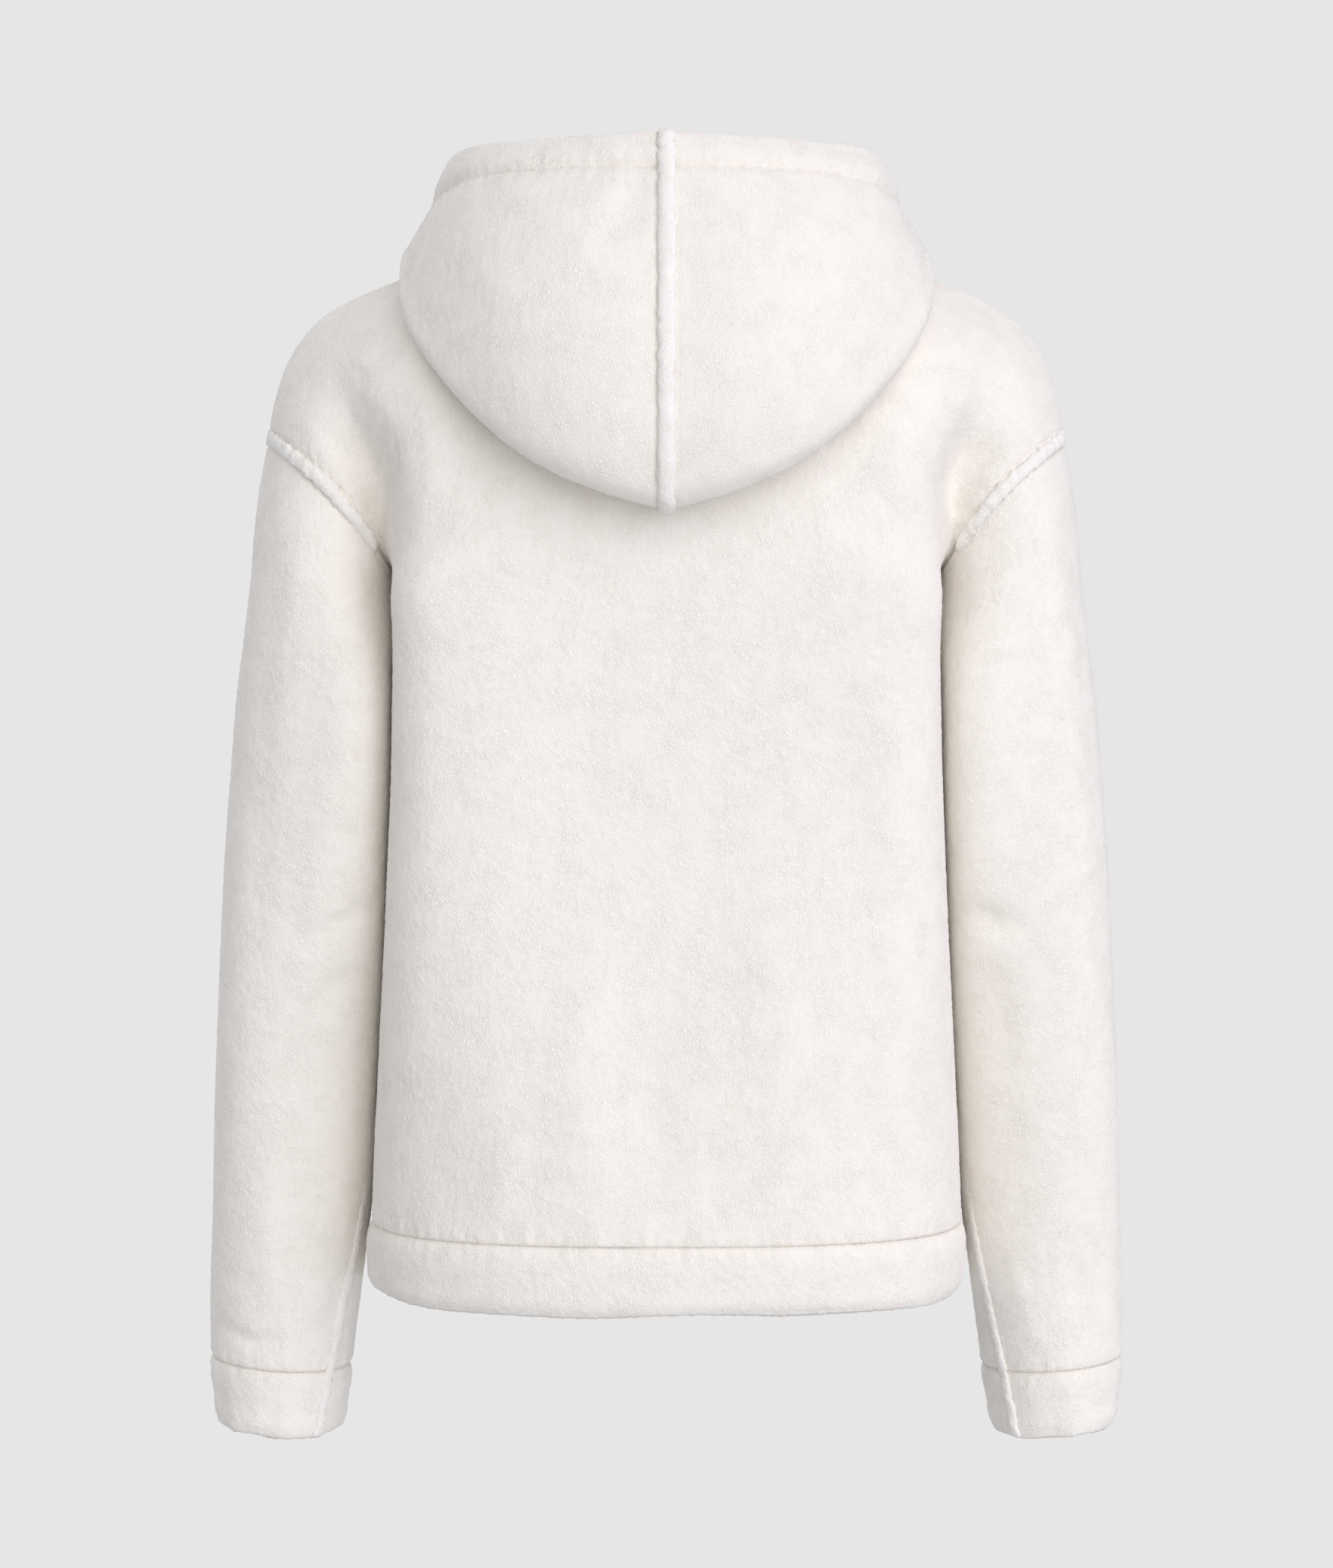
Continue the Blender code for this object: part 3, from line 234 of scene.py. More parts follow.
# Waves of a doubled edge: share of their height, number round the edge and turn for each seed.
OUTWARD_WAVES = ((1.0, 5, 1), (0.7, 8, 2), (0.5, 13, 1))
DOWNWARD_WAVES = ((1.0, 4, 1), (0.6, 9, -1))
WAVES_FULL = 0.46               # share of the way round the edge and back where they are full
BAND_WAVE, BAND_SEED = 0.8, 0.6
CUFF_WAVE = 0.5

# Raised seams
RIDGE_WIDTH = 9.0
HOOD_RIDGE_WIDTH = 10.5
HOOD_RIDGE_HEIGHT = 4.0
HOOD_RIDGE_START = 8            # fine rows before the fold where it starts
HOOD_RIDGE_FADE = 14.0
ARMHOLE_RIDGE_HEIGHT = 3.6
ARMHOLE_RIDGE_END = 135.0       # degrees from the top: under the arm the seam is squeezed flat
ARMHOLE_RIDGE_NEAR = 2.0        # how near a column of the sleeve must be to set its foot there
SLEEVE_RIDGE_HEIGHT = 1.84
SLEEVE_RIDGE_SHARE = 0.36       # half its width, as a share of RIDGE_WIDTH
SLEEVE_RIDGE_ROW = 13           # row of the sleeve's solid where its seam starts to show
SLEEVE_RIDGE_START = 26.0       # degrees from the inside of the arm to the back at that row
SLEEVE_RIDGE_TURN = 24.0        # degrees further round at the cuff's end
SLEEVE_RIDGE_FADES = (60.0, 4.0)
ROPE_POINTS = 14                # points round a raised seam
ROPE_ROOT = 1.8                 # how deep it is rooted in the cloth
ROPE_FACING = (1.7, 0.12)       # it is low on cloth that faces sideways: slope and start
ROPE_END = 0.25                 # share of its height that is left at its ends
ROPE_FADE = 6.0                 # how far from an end it has its full height
ROPE_ROUNDNESS = 0.8            # exponent of its section: 1 is a half ellipse, less is fuller
ROPE_HEIGHT_WAVES = (0.20, 9.0)     # strength and length
ROPE_SHIFT_WAVES = (0.75, 15.0)
ROPE_SIDE_WAVES = (0.20, (7.0, 2), (8.5, 5))    # strength, then length and added seed of each side

SEEDS = {   # what sets the uneven waves of the wearer's right and left side apart
    "sleeve": {"right": 1.3, "left": 4.1},
    "cuff": {"right": 1.9, "left": 3.3},
    "hood": {"right": 2.2, "left": 5.7},
    "armhole_rope": {"right": 1.0, "left": 3.0},
    "sleeve_rope": {"right": 2.0, "left": 6.0},
}
PANEL_SEEDS = (1.0, 3.0)        # for the puckers of the back and front, with the facing added
ARMHOLE_SEED = 5.0
HOOD_ROPE_SEED = 4.0

# Pile: cells, noise and waves are counted to a metre, and heights are in metres.
# A kind of cells: stretch (less is longer down the cloth), count, and waves of its walls: count
# and reach. Its cracks: width, patches of noise (count, detail, range), how full they are outside
# and inside the patches.
CURLS = (0.80, 520.0, 380.0, 0.0040)
CURL_CRACKS = (0.12, (70.0, 3.0, 0.36, 0.60), (0.75, 0.35))
LOCKS = (0.28, 170.0, 240.0, 0.0042)
LOCK_CRACKS = (0.05, (90.0, 2.0, 0.50, 0.60), (1.0, 0.45))
CURL_ROUND = 0.42               # distance from its wall at which a curl is at its top
FIBRES = (0.6, 1300.0)          # stretch and count
LUMPS = 60.0
PILE_PARTS = (
    # level from which it is measured, and height: cracks, curls, fibres and lumps
    (0.7, 0.00022),
    (0.5, 0.00045),
    (0.5, 0.00025),
    (0.5, 0.00028),
)
BUMP_DISTANCE = 0.00042
BUMP_PARTS = (0.20, 0.45, 0.35)     # cracks, curls and fibres
BUMP_PATCHES = (55.0, 0.35, 0.65, 0.65, 1.0)    # noise, its range and the share of the bumps

# Colours of the pile: the top colours are the fibre's own cream, the crack colours are shade
# painted into the cracks between curls.
CRACK_SHADE = (0.89, 0.845, 0.765, 1.0)
TOP = (0.945, 0.91, 0.855, 1.0)
# Painted highlight on the pile of a raised seam.
SEAM_HIGHLIGHT = (0.955, 0.935, 0.91, 1.0)
SEAM_PILE = 1.3                 # the pile on a raised seam stands higher, and is painted whiter there as a highlight
# The plain back of the cloth: its crack colour is painted shade, its top colour its own.
BACK_CRACK_SHADE = (0.87, 0.825, 0.74, 1.0)
BACK_TOP = (0.925, 0.89, 0.835, 1.0)
# Painted shade in the grooves beside seams and stitch lines, where the pile is low.
SEAM_GROOVE_SHADE = (0.885, 0.83, 0.745, 1.0)
GROOVE_SHADE_RANGE = (0.1, 0.9)       # weights of the pile between which the painted groove shade gives way to it
UNSHADED_PARTS = (0.35, 0.65, 0.12)       # out of the painted crack shade: share of the curls, what stands without them, and the fibres
# share at which a place is fully out of the painted crack shade
UNSHADED_FULL = 0.75
LUMP_SHADE = 0.012              # how much the lumps lighten and darken
SURFACE = {"Roughness": 0.95, "Specular IOR Level": 0.15, "Sheen Weight": 0.25,
           "Sheen Roughness": 0.45, "Sheen Tint": (0.97, 0.96, 1.0, 1.0)}

# Studio
BACKGROUND = (0.791, 0.791, 0.791)
SURROUND_LIGHT = (0.505, 0.512, 0.538, 1.0)     # light that reaches the garment from all sides
SURROUND_RADIUS = 20.0
FLOOR_SIZE = 14.0
FLOOR_Z = -0.80
SENSOR = 36.0
PIXEL = 0.00045                 # metres of the garment's middle plane to a pixel of the photo
FRAME_PIXELS = 2075
CAMERA_DISTANCE = 2.5
CAMERA_Z = -0.3274
LIGHTS = [
    # name, direction that it shines in, strength, how wide it is in degrees, colour
    ("key", (-0.70, 0.70, -0.30), 0.80, 70.0, (0.80, 0.78, 1.0)),
    ("front_key", (-0.34, 0.94, -0.30), 1.20, 70.0, (1.0, 0.97, 0.90)),
    ("rear_key", (0.40, -0.85, -0.35), 1.10, 70.0, (0.97, 0.95, 1.0)),
]


def curve_through(knots, points, at):
    """Smooth cubic curve that passes each point at its knot, read at each value of at."""
    knots = np.asarray(knots, float)
    points = np.asarray(points, float)
    steps = np.diff(knots)[:, None]
    rises = np.diff(points, axis=0) / steps
    slopes = np.empty_like(points)
    slopes[1:-1] = (rises[:-1] * steps[1:] + rises[1:] * steps[:-1]) / (steps[:-1] + steps[1:])
    slopes[0] = 1.5 * rises[0] - 0.5 * slopes[1]
    slopes[-1] = 1.5 * rises[-1] - 0.5 * slopes[-2]
    at = np.clip(np.asarray(at, float), knots[0], knots[-1])
    span = np.clip(np.searchsorted(knots, at, side="right") - 1, 0, len(knots) - 2)
    step = steps[span]
    t = ((at - knots[span]) / step[:, 0])[:, None]
    start = (1 + 2 * t) * (1 - t) ** 2 * points[span] + t * (1 - t) ** 2 * step * slopes[span]
    end = t * t * (3 - 2 * t) * points[span + 1] + t * t * (t - 1) * step * slopes[span + 1]
    return start + end


def run_lengths(points):
    """Distance of each point from the first, along a line or down each column of a grid."""
    sizes = np.linalg.norm(np.diff(points, axis=0), axis=-1)
    return np.concatenate((np.zeros_like(sizes[:1]), np.cumsum(sizes, axis=0)))


def unit(vectors):
    """Vectors scaled to length one."""
    return vectors / np.linalg.norm(vectors, axis=-1, keepdims=True)


def mirrored(grid):
    """The same grid of points or normals on the wearer's left."""
    return grid * np.array((-1.0, 1.0, 1.0))


def neck_point(angle):
    """Point of the neck seam: angle 0 is the centre back, 90 the side and 180 the centre front."""
    turn = math.radians(angle)
    cosine = math.cos(turn)
    depth = NECK_BACK_DEPTH if cosine > 0 else NECK_FRONT_DEPTH
    drop = NECK_BACK_DROP if cosine > 0 else NECK_FRONT_DROP
    curve = NECK_BACK_CURVE if cosine > 0 else NECK_FRONT_CURVE
    return np.array((NECK_HALF_WIDTH * math.sin(turn), -depth * cosine,
                     -drop * abs(cosine) ** curve))


def armhole_point(angle):
    """Point of the armhole seam: angle 0 is its top, 90 the back and 180 the underarm."""
    turn = math.radians(angle)
    along = ARMHOLE_HALF_HEIGHT * math.cos(turn)
    bow = ARMHOLE_BOW * math.sin(turn) ** 2
    x = ARMHOLE_CENTRE[0] + along * ARMHOLE_LEAN[0] - bow * ARMHOLE_LEAN[1]
    z = ARMHOLE_CENTRE[1] + along * ARMHOLE_LEAN[1] + bow * ARMHOLE_LEAN[0]
    return np.array((x, -ARMHOLE_HALF_DEPTH * math.sin(turn), z))


def shoulder_point(share):
    """Point of the shoulder seam at a share of the half panel."""
    top = armhole_point(0.0)
    rows = SHOULDER_SEAM + [(1.0, top[0], top[2])]
    x, z = curve_through([row[0] for row in rows], [row[1:] for row in rows], [share])[0]
    return np.array((x, 0.0, z))


def top_point(share, facing):
    """Point of a panel's top edge: the neck seam first and then the shoulder seam."""
    if share > NECK_SHARE:
        return shoulder_point(share)
    angle = 90.0 * share / NECK_SHARE
    return neck_point(angle if facing == BACK else 180.0 - angle)


def body_point(z, share, facing):
    """Point of the body's ring at height z: share 0 is the centre and 1 the side seam."""
    rings = sorted(BODY_RINGS)
    width, back, front, squareness = curve_through([ring[0] for ring in rings],
                                                   [ring[1:] for ring in rings], [z])[0]
    depth, power = (back, squareness) if facing == BACK else (front, BODY_SQUARENESS)
    turn = math.radians(90.0 * share)
    aside = math.sin(turn) ** (2.0 / BODY_SQUARENESS)
    ahead = abs(math.cos(turn)) ** (2.0 / BODY_SQUARENESS)
    reach = (aside ** power + ahead ** power) ** (1.0 / power)
    return np.array((width * aside / reach, facing * depth * ahead / reach, z))


def hem_seam_z(share, facing):
    """Height of the hem seam, which dips towards the centre."""
    dip = HEM_SEAM_BACK_DIP if facing == BACK else HEM_SEAM_FRONT_DIP
    return HEM_SEAM_SIDE_Z - dip * (1.0 - share * share)


def arm_angles():
    """Angles of the rows beside an armhole, from the underarm to the top."""
    return [180.0 - 180.0 * step / ARM_STEPS for step in range(ARM_STEPS + 1)]


def half_panel(facing):
    """Right half of the back or front panel: rows from the hem seam to the top, columns outward."""
    rows = []
    for step in range(LOWER_ROWS):
        drop = 1.0 - step / LOWER_ROWS
        heights = [UNDERARM_Z + (hem_seam_z(share, facing) - UNDERARM_Z) * drop
                   for share in COLUMNS]
        rows.append([body_point(z, share, facing) for z, share in zip(heights, COLUMNS)])
    net = UPPER_BACK if facing == BACK else UPPER_FRONT
    climbs = [0.0] + [row[0] for row in net] + [1.0]
    rise = -NECK_BACK_DROP - UNDERARM_Z
    knots = list(LEAD_HEIGHTS) + [UNDERARM_Z + rise * climb for climb in climbs]
    heights = [UNDERARM_Z + rise * step / ARM_STEPS for step in range(ARM_STEPS + 1)]
    tracks = []
    for index, share in enumerate(STATIONS[:-1]):
        track = [body_point(z, share, facing) for z in (*LEAD_HEIGHTS, UNDERARM_Z)]
        track += [np.array(row[1 + index]) for row in net]
        track.append(top_point(share, facing))
        tracks.append(curve_through(knots, track, heights))
    for step, angle in enumerate(arm_angles()):
        seam = armhole_point(angle) * np.array((1.0, -facing, 1.0))
        stations = [track[step] for track in tracks] + [seam]
        rows.append(list(curve_through(STATIONS, stations, COLUMNS)))
    underarm = [body_point(UNDERARM_Z, share, facing) for share in COLUMNS[:-1]]
    rows[LOWER_ROWS] = underarm + [armhole_point(180.0)]
    rows[-1] = [top_point(share, facing) for share in COLUMNS]
    return np.array(rows)


def half_band(facing):
    """Right half of the hem band: rows from the hem seam down, columns outward."""
    return np.array([[body_point(hem_seam_z(share, facing) - BAND_HEIGHT * row[0], share, facing)
                      for share in COLUMNS] for row in DOUBLED_EDGE])


def both_halves(half):
    """A grid with its mirror image to the wearer's left of the centre column."""
    return np.concatenate((mirrored(half[:, :0:-1]), half), axis=1)


def sleeve_grid():
    """Right sleeve and cuff: rows from the armhole to the cuff's end, columns round it."""
    angles = [180.0 * step / ARM_STEPS for step in range(2 * ARM_STEPS)]
    middles = [(ARMHOLE_CENTRE[0], 0.0, ARMHOLE_CENTRE[1])]
    middles += [((outer[0] + inner[0]) / 2, centre_y, (outer[1] + inner[1]) / 2)
                for outer, inner, _, centre_y, *_ in SLEEVE_RINGS]
    knots = run_lengths(middles)
    seam_knot = knots[CUFF_SEAM_RING]
    sleeve_knots = [seam_knot * step / SLEEVE_ROWS for step in range(SLEEVE_ROWS + 1)]
    cuff_length = knots[-1] - seam_knot
    cuff_knots = [seam_knot + cuff_length * row[0] for row in DOUBLED_EDGE[1:]]
    columns = []
    for angle in angles:
        turn = math.radians(angle)
        track = [armhole_point(angle)]
        for outer, inner, half_depth, centre_y, slant, squareness, tilt in SLEEVE_RINGS:
            out, inn = np.array(outer), np.array(inner)
            aside, ahead = (math.copysign(abs(part) ** (2.0 / squareness), part)
                            for part in (math.cos(turn), -math.sin(turn)))
            x, z = (out + inn) / 2 + (out - inn) / 2 * aside
            y = half_depth * ahead
            slope = slant * (out - inn)[0] / 2 * aside
            track.append(np.array((x, centre_y + y + slope, z + tilt * y)))
        columns.append(curve_through(knots, track, sleeve_knots + cuff_knots))
    return np.array(columns).transpose(1, 0, 2)


def hood_cut(angle):
    """Points of the hood's cut at an angle, from the neck seam to the edge of its opening."""
    start = neck_point(angle)
    angles = [row[0] for row in HOOD_CUTS]
    nodes = [np.array((math.hypot(start[0], start[1]), start[2]))]
    for node in range(1, len(HOOD_CUTS[0])):
        nodes.append(curve_through(angles, [row[node] for row in HOOD_CUTS], [angle])[0])
    return nodes


def hood_grid():
    """Right half of the hood: rows along its cuts, columns from the centre back to the front."""
    columns = []
    for step in range(HOOD_STEPS + 1):
        angle = 180.0 * step / HOOD_STEPS
        nodes = hood_cut(angle)
        knots = run_lengths(nodes)
        roll, fold = knots[ROLL_NODE], knots[FOLD_NODE]
        casing = knots[-1] - CASING_WIDTH
        at = [roll * row / ROLL_ROWS for row in range(ROLL_ROWS)]
        at += [roll + step for step in bend_steps(fold - roll, INNER_ROWS, both_ends=True)]
        at += [fold + step for step in bend_steps(casing - fold, OUTER_ROWS, both_ends=False)]
        at += [casing + CASING_WIDTH * row[0] for row in DOUBLED_EDGE]
        turn = math.radians(angle)
        cut = curve_through(knots, nodes, at)
        columns.append([(radius * math.sin(turn), -radius * math.cos(turn), z)
                        for radius, z in cut])
    return np.array(columns).transpose(1, 0, 2)


def bend_steps(length, count, both_ends):
    """Where the rows of one layer lie along it: two close rows next to each bend, the rest even."""
    close = min(BEND_STEP, length / count)
    near = [0.0, close, BEND_SECOND * close]
    if not both_ends:
        return near[:2] + list(np.linspace(near[2], length, count - 1)[:-1])
    return near[:2] + list(np.linspace(near[2], length - near[2], count - 3)) + [length - close]


def tangents(grid, closed):
    """Direction of the rows' run at each point of a grid, the nearer neighbour counting more."""
    if closed:
        grid = np.concatenate((grid[-1:], grid, grid[:1]))
    runs = np.diff(grid, axis=0)
    sizes = np.linalg.norm(runs, axis=-1, keepdims=True)
    runs = runs / sizes
    inside = (runs[:-1] * sizes[1:] + runs[1:] * sizes[:-1]) / (sizes[:-1] + sizes[1:])
    if closed:
        return inside
    return np.concatenate((1.5 * runs[:1] - 0.5 * inside[:1], inside,
                           1.5 * runs[-1:] - 0.5 * inside[-1:]))


def grid_normals(grid, closed=False, flip=False):
    """Unit normal at each point of a grid, from its neighbours along rows and columns."""
    across = tangents(grid.transpose(1, 0, 2), closed).transpose(1, 0, 2)
    along = tangents(grid, False)
    normals = unit(np.cross(across, along))
    return -normals if flip else normals


def shared(*directions):
    """One common direction for seam edges that meet."""
    return unit(sum(directions))


def into(points, seam, along):
    """Direction from a seam point into a piece, square to the seam, by the nearest points of it."""
    run = sum(unit(point - seam) for point in points)
    return unit(run - along * (run @ along))


def body_normals(panels, bands):
    """Normals of the panels and of the hem band, shared along the side and shoulder seams."""
    whole = {facing: grid_normals(np.concatenate((bands[facing][:0:-1], panels[facing])),
                                  flip=facing == FRONT)
             for facing in (BACK, FRONT)}
    side = slice(0, EDGE_STEPS + LOWER_ROWS)
    neck_end = NECK_COLUMNS - 1
    shoulders = (slice(0, CENTRE - neck_end + 1), slice(CENTRE + neck_end, 2 * CENTRE + 1))
    for seam in ((side, 0), (side, -1), (-1, shoulders[0]), (-1, shoulders[1])):
        common = shared(whole[BACK][seam], whole[FRONT][seam])
        whole[BACK][seam] = whole[FRONT][seam] = common
    panel_normals = {facing: whole[facing][EDGE_STEPS:] for facing in whole}
    band_normals = {facing: whole[facing][EDGE_STEPS::-1] for facing in whole}
    return panel_normals, band_normals


def join_neck(panel_normals, hood_normals):
    """Make the panels and the hood share their normals along the neck seam."""
    for facing in (BACK, FRONT):
        for column in range(NECK_COLUMNS):
            hood_column = column if facing == BACK else HOOD_STEPS - column
            common = shared(panel_normals[facing][-1, CENTRE + column],
                            hood_normals[0, hood_column])
            hood_normals[0, hood_column] = common
            panel_normals[facing][-1, CENTRE + column] = common
            panel_normals[facing][-1, CENTRE - column] = mirrored(common)
    end = NECK_COLUMNS - 1
    for facing in (BACK, FRONT):
        panel_normals[facing][-1, CENTRE + end] = hood_normals[0, end]
        panel_normals[facing][-1, CENTRE - end] = mirrored(hood_normals[0, end])


def armhole_normal(panel, panel_normals, sleeve, sleeve_normals, step, column):
    """Outward direction on the armhole seam, between those of the panel and of the sleeve."""
    row = LOWER_ROWS + step
    seam = panel[row, -1]
    along = unit(panel[row + 1, -1] - panel[row - 1, -1])
    onto_panel = into((panel[row - 1, -2], panel[row, -2]), seam, along)
    onto_sleeve = into((sleeve[1, column],), seam, along)
    return shared(panel_normals[row, -1], sleeve_normals[0, column], onto_panel + onto_sleeve)


def join_armhole(panels, panel_normals, sleeve, sleeve_normals):
    """Make the panels and the sleeve share their normals along the armhole seam.

    Under the arm the cloth folds back on itself, and there the shared normal turns straight down
    into the crease.
    """
    around = 2 * ARM_STEPS
    commons = np.zeros((around, 3))
    commons[0] = shared(panel_normals[BACK][-1, -1], panel_normals[FRONT][-1, -1],
                        sleeve_normals[0, 0])
    for facing in (BACK, FRONT):
        for step in range(CREASE_STEPS, ARM_STEPS):
            column = ARM_STEPS + facing * step
            commons[column] = armhole_normal(panels[facing], panel_normals[facing],
                                             sleeve, sleeve_normals, step, column)
        end = commons[ARM_STEPS + facing * CREASE_STEPS]
        for step in range(CREASE_STEPS):
            share = step / CREASE_STEPS
            commons[ARM_STEPS + facing * step] = unit(share * end + (1.0 - share) * DOWN)
    sleeve_normals[0] = commons
    for facing in (BACK, FRONT):
        for step in range(ARM_STEPS + 1):
            common = commons[(ARM_STEPS + facing * step) % around]
            panel_normals[facing][LOWER_ROWS + step, -1] = common
            panel_normals[facing][LOWER_ROWS + step, 0] = mirrored(common)


# Fine surfaces ------------------------------------------------------------------------------------

# Folds and creases that show, by piece and facing: line of (x, z), half width and height.
CREASES = {
    ("body", BACK): [
        ([(52, -380), (60, -440), (70, -520), (74, -580)], 20, 2.6),
        ([(-44, -425), (-50, -500), (-48, -582)], 18, 2.2),
        ([(-4, -440), (-8, -510), (-2, -582)], 18, -2.2),
        ([(-130, -430), (-132, -520), (-126, -582)], 20, -2.0),
        ([(94, -265), (104, -330), (110, -400)], 20, -2.2),
        ([(126, -300), (130, -380), (138, -470)], 15, 1.4),
        ([(-96, -250), (-90, -330), (-98, -410)], 24, 1.3),
        ([(-156, -300), (-152, -380)], 9, -1.0),
        ([(112, -500), (120, -540), (118, -584)], 12, -1.3),
        ([(-92, -520), (-96, -584)], 11, 1.3),
        ([(24, -530), (28, -584)], 9, -1.0),
        ([(-168, -112), (-162, -128), (-163, -146)], 3.2, -1.6),
        ([(-158, -120), (-155, -140), (-157, -160)], 2.8, -1.1),
        ([(-164, -160), (-160, -182)], 3.0, -1.2),
        ([(-172, -96), (-180, -86)], 4.0, -1.2),
        ([(160, -110), (156, -140)], 5.0, -1.0),
    ],
    ("body", FRONT): [
        ([(-58, -390), (-70, -470), (-80, -578)], 20, 2.6),
        ([(52, -430), (60, -500), (58, -582)], 18, 2.2),
        ([(4, -415), (-2, -500), (-8, -582)], 18, -2.2),
        ([(-100, -262), (-108, -320), (-114, -386)], 20, -2.2),
        ([(112, -300), (106, -390), (116, -470)], 20, 1.5),
        ([(-24, -160), (0, -176), (30, -168)], 12, -1.2),
        ([(124, -510), (122, -582)], 12, -1.4),
        ([(-128, -500), (-124, -582)], 13, 1.4),
    ],
    ("sleeve", BACK): [
        ([(186, -300), (178, -350), (180, -392)], 12, 2.4),
        ([(172, -402), (186, -404), (208, -415)], 7.5, -3.6),
        ([(188, -425), (190, -455), (196, -490)], 13, -2.4),
        ([(228, -90), (238, -187), (252, -328), (262, -463)], 8, -1.9),
        ([(212, -470), (222, -540), (224, -600)], 13, 1.4),
        ([(236, -600), (250, -640), (248, -668)], 8, -1.4),
        ([(206, -612), (212, -640), (224, -664)], 6, 1.2),
        ([(-174, -398), (-190, -408), (-216, -422)], 8, -2.6),
        ([(-178, -436), (-196, -446), (-210, -462)], 7, -1.5),
        ([(-264, -652), (-244, -658), (-226, -657)], 5, -2.2),
        ([(-206, -664), (-196, -640), (-200, -600)], 7, -1.6),
        ([(-196, -300), (-204, -380), (-208, -460)], 14, 1.3),
        ([(-226, -180), (-234, -260), (-237, -350), (-240, -440)], 9, -1.5),
        ([(-232, -520), (-240, -590), (-236, -640)], 11, 1.3),
    ],
    ("sleeve", FRONT): [
        ([(192, -402), (214, -410), (244, -426)], 9, -3.4),
        ([(196, -436), (220, -444), (248, -453)], 8, -2.6),
        ([(206, -466), (228, -470), (250, -484)], 7, -1.6),
        ([(-190, -408), (-214, -414), (-244, -428)], 9, -3.4),
        ([(-198, -442), (-222, -446), (-250, -458)], 8, -2.6),
        ([(-208, -376), (-230, -384), (-252, -388)], 7, -1.5),
        ([(216, -560), (226, -620), (222, -664)], 11, 1.4),
        ([(-228, -550), (-220, -610), (-230, -664)], 11, 1.4),
    ],
    ("hood", BACK): [
        ([(-100, 20), (-82, 8), (-60, 2)], 10, 1.9),
        ([(-8, 24), (-20, 0), (-38, -34)], 11, -2.6),
        ([(10, 6), (54, 0), (100, 4)], 12, -1.8),
        ([(20, -30), (60, -48), (100, -50)], 16, 1.2),
        ([(-108, -20), (-92, -50), (-70, -76)], 14, 1.3),
    ],
}
CREASE_FACING = (1.6, 0.3)      # a crease fades on cloth that turns away: slope and start
CREASE_WOBBLE = (2.4, (47.0, 1.0), (39.0, 2.0))     # how far it wanders, length and seed each way
CREASE_SPAN = (0.06, 0.88)      # its height follows a half wave: start and part of it
CREASE_FULLNESS = 0.7
WAVE_PARTS = (1.0, 0.618, 1.47, 2.13)   # how fast each part of an uneven wave turns
WAVE_TOP = 2.3                  # what brings the sum of the parts back to about one


def waves(s, length, seed):
    """Smooth uneven waves from about -1 to 1 along s, a few of them to each length."""
    turns = s * (2 * math.pi / length)
    total = np.zeros_like(turns)
    for step, part in enumerate(WAVE_PARTS):
        total = total + np.sin(turns * part + seed * (1.7 + step) + 2.4 * step) / (1 + 0.5 * step)
    return total / WAVE_TOP


def ring_waves(around, kinds, seed):
    """Waves round a ring, by the angle around it."""
    return sum(share * np.sin(around * count + turn * seed) for share, count, turn in kinds)


def crease_heights(points, normals, piece):
    """How far each point of a surface moves along its normal for the creases of its piece."""
    flat = points[..., (0, 2)]
    far, across, upright = CREASE_WOBBLE
    flat = flat + far * np.stack((waves(flat[..., 1], *across), waves(flat[..., 0], *upright)), -1)
    slope, least = CREASE_FACING
    low, span = CREASE_SPAN
    heights = np.zeros(flat.shape[:-1])
    for facing in (BACK, FRONT):
        toward = np.clip(slope * facing * normals[..., 1] + least, 0.0, 1.0)
        for line, half_width, height in CREASES.get((piece, facing), ()):
            line = np.array(line, float)
            runs = np.diff(line, axis=0)
            starts = run_lengths(line)
            nearest = np.full(heights.shape, 1e9)
            along = np.zeros(heights.shape)
            for start, run, before in zip(line, runs, starts):
                length = np.linalg.norm(run)
                place = np.clip((flat - start) @ run / length, 0.0, length)
                away = np.linalg.norm(flat - start - place[..., None] * run / length, axis=-1)
                closer = away < nearest
                nearest = np.where(closer, away, nearest)
                along = np.where(closer, (before + place) / starts[-1], along)
            swell = np.sin(math.pi * np.clip(low + span * along, 0.0, 1.0)) ** CREASE_FULLNESS
            heights += height * swell * np.exp(-(nearest / half_width) ** 2) * toward
    return heights


def fine_lines(grid, step):
    """Where the lines of a coarse grid lie along its mean length, and where the fine lines go."""
    sizes = np.linalg.norm(np.diff(grid, axis=0), axis=-1).mean(axis=1)
    knots = np.concatenate(([0.0], np.cumsum(sizes)))
    return knots, np.linspace(0.0, knots[-1], max(2, round(knots[-1] / step)) + 1)


def refined(grid, normals, step, closed=False):
    """Places and unit normals of a coarse grid, read at lines about step apart both ways."""
    data = np.concatenate((grid, normals), axis=-1)
    knots, at = fine_lines(grid, step)
    rows = curve_through(knots, data.reshape(len(data), -1), at).reshape(len(at), *data.shape[1:])
    turned = rows.transpose(1, 0, 2)
    if not closed:
        knots, at = fine_lines(turned[..., :3], step)
    else:
        count = len(turned)
        turned = np.concatenate((turned[-3:], turned, turned[:4]))
        knots, _ = fine_lines(turned[..., :3], step)
        around = knots[3 + count] - knots[3]
        at = knots[3] + np.arange(round(around / step)) * around / round(around / step)
    fine = curve_through(knots, turned.reshape(len(turned), -1), at)
    fine = fine.reshape(len(at), *turned.shape[1:]).transpose(1, 0, 2)
    return fine[..., :3], unit(fine[..., 3:])


def from_edges(points):
    """Distance of each point of a grid from its first row, last row, first and last column."""
    down = run_lengths(points)
    over = run_lengths(points.transpose(1, 0, 2)).T
    return down, down[-1:] - down, over, over[:, -1:] - over


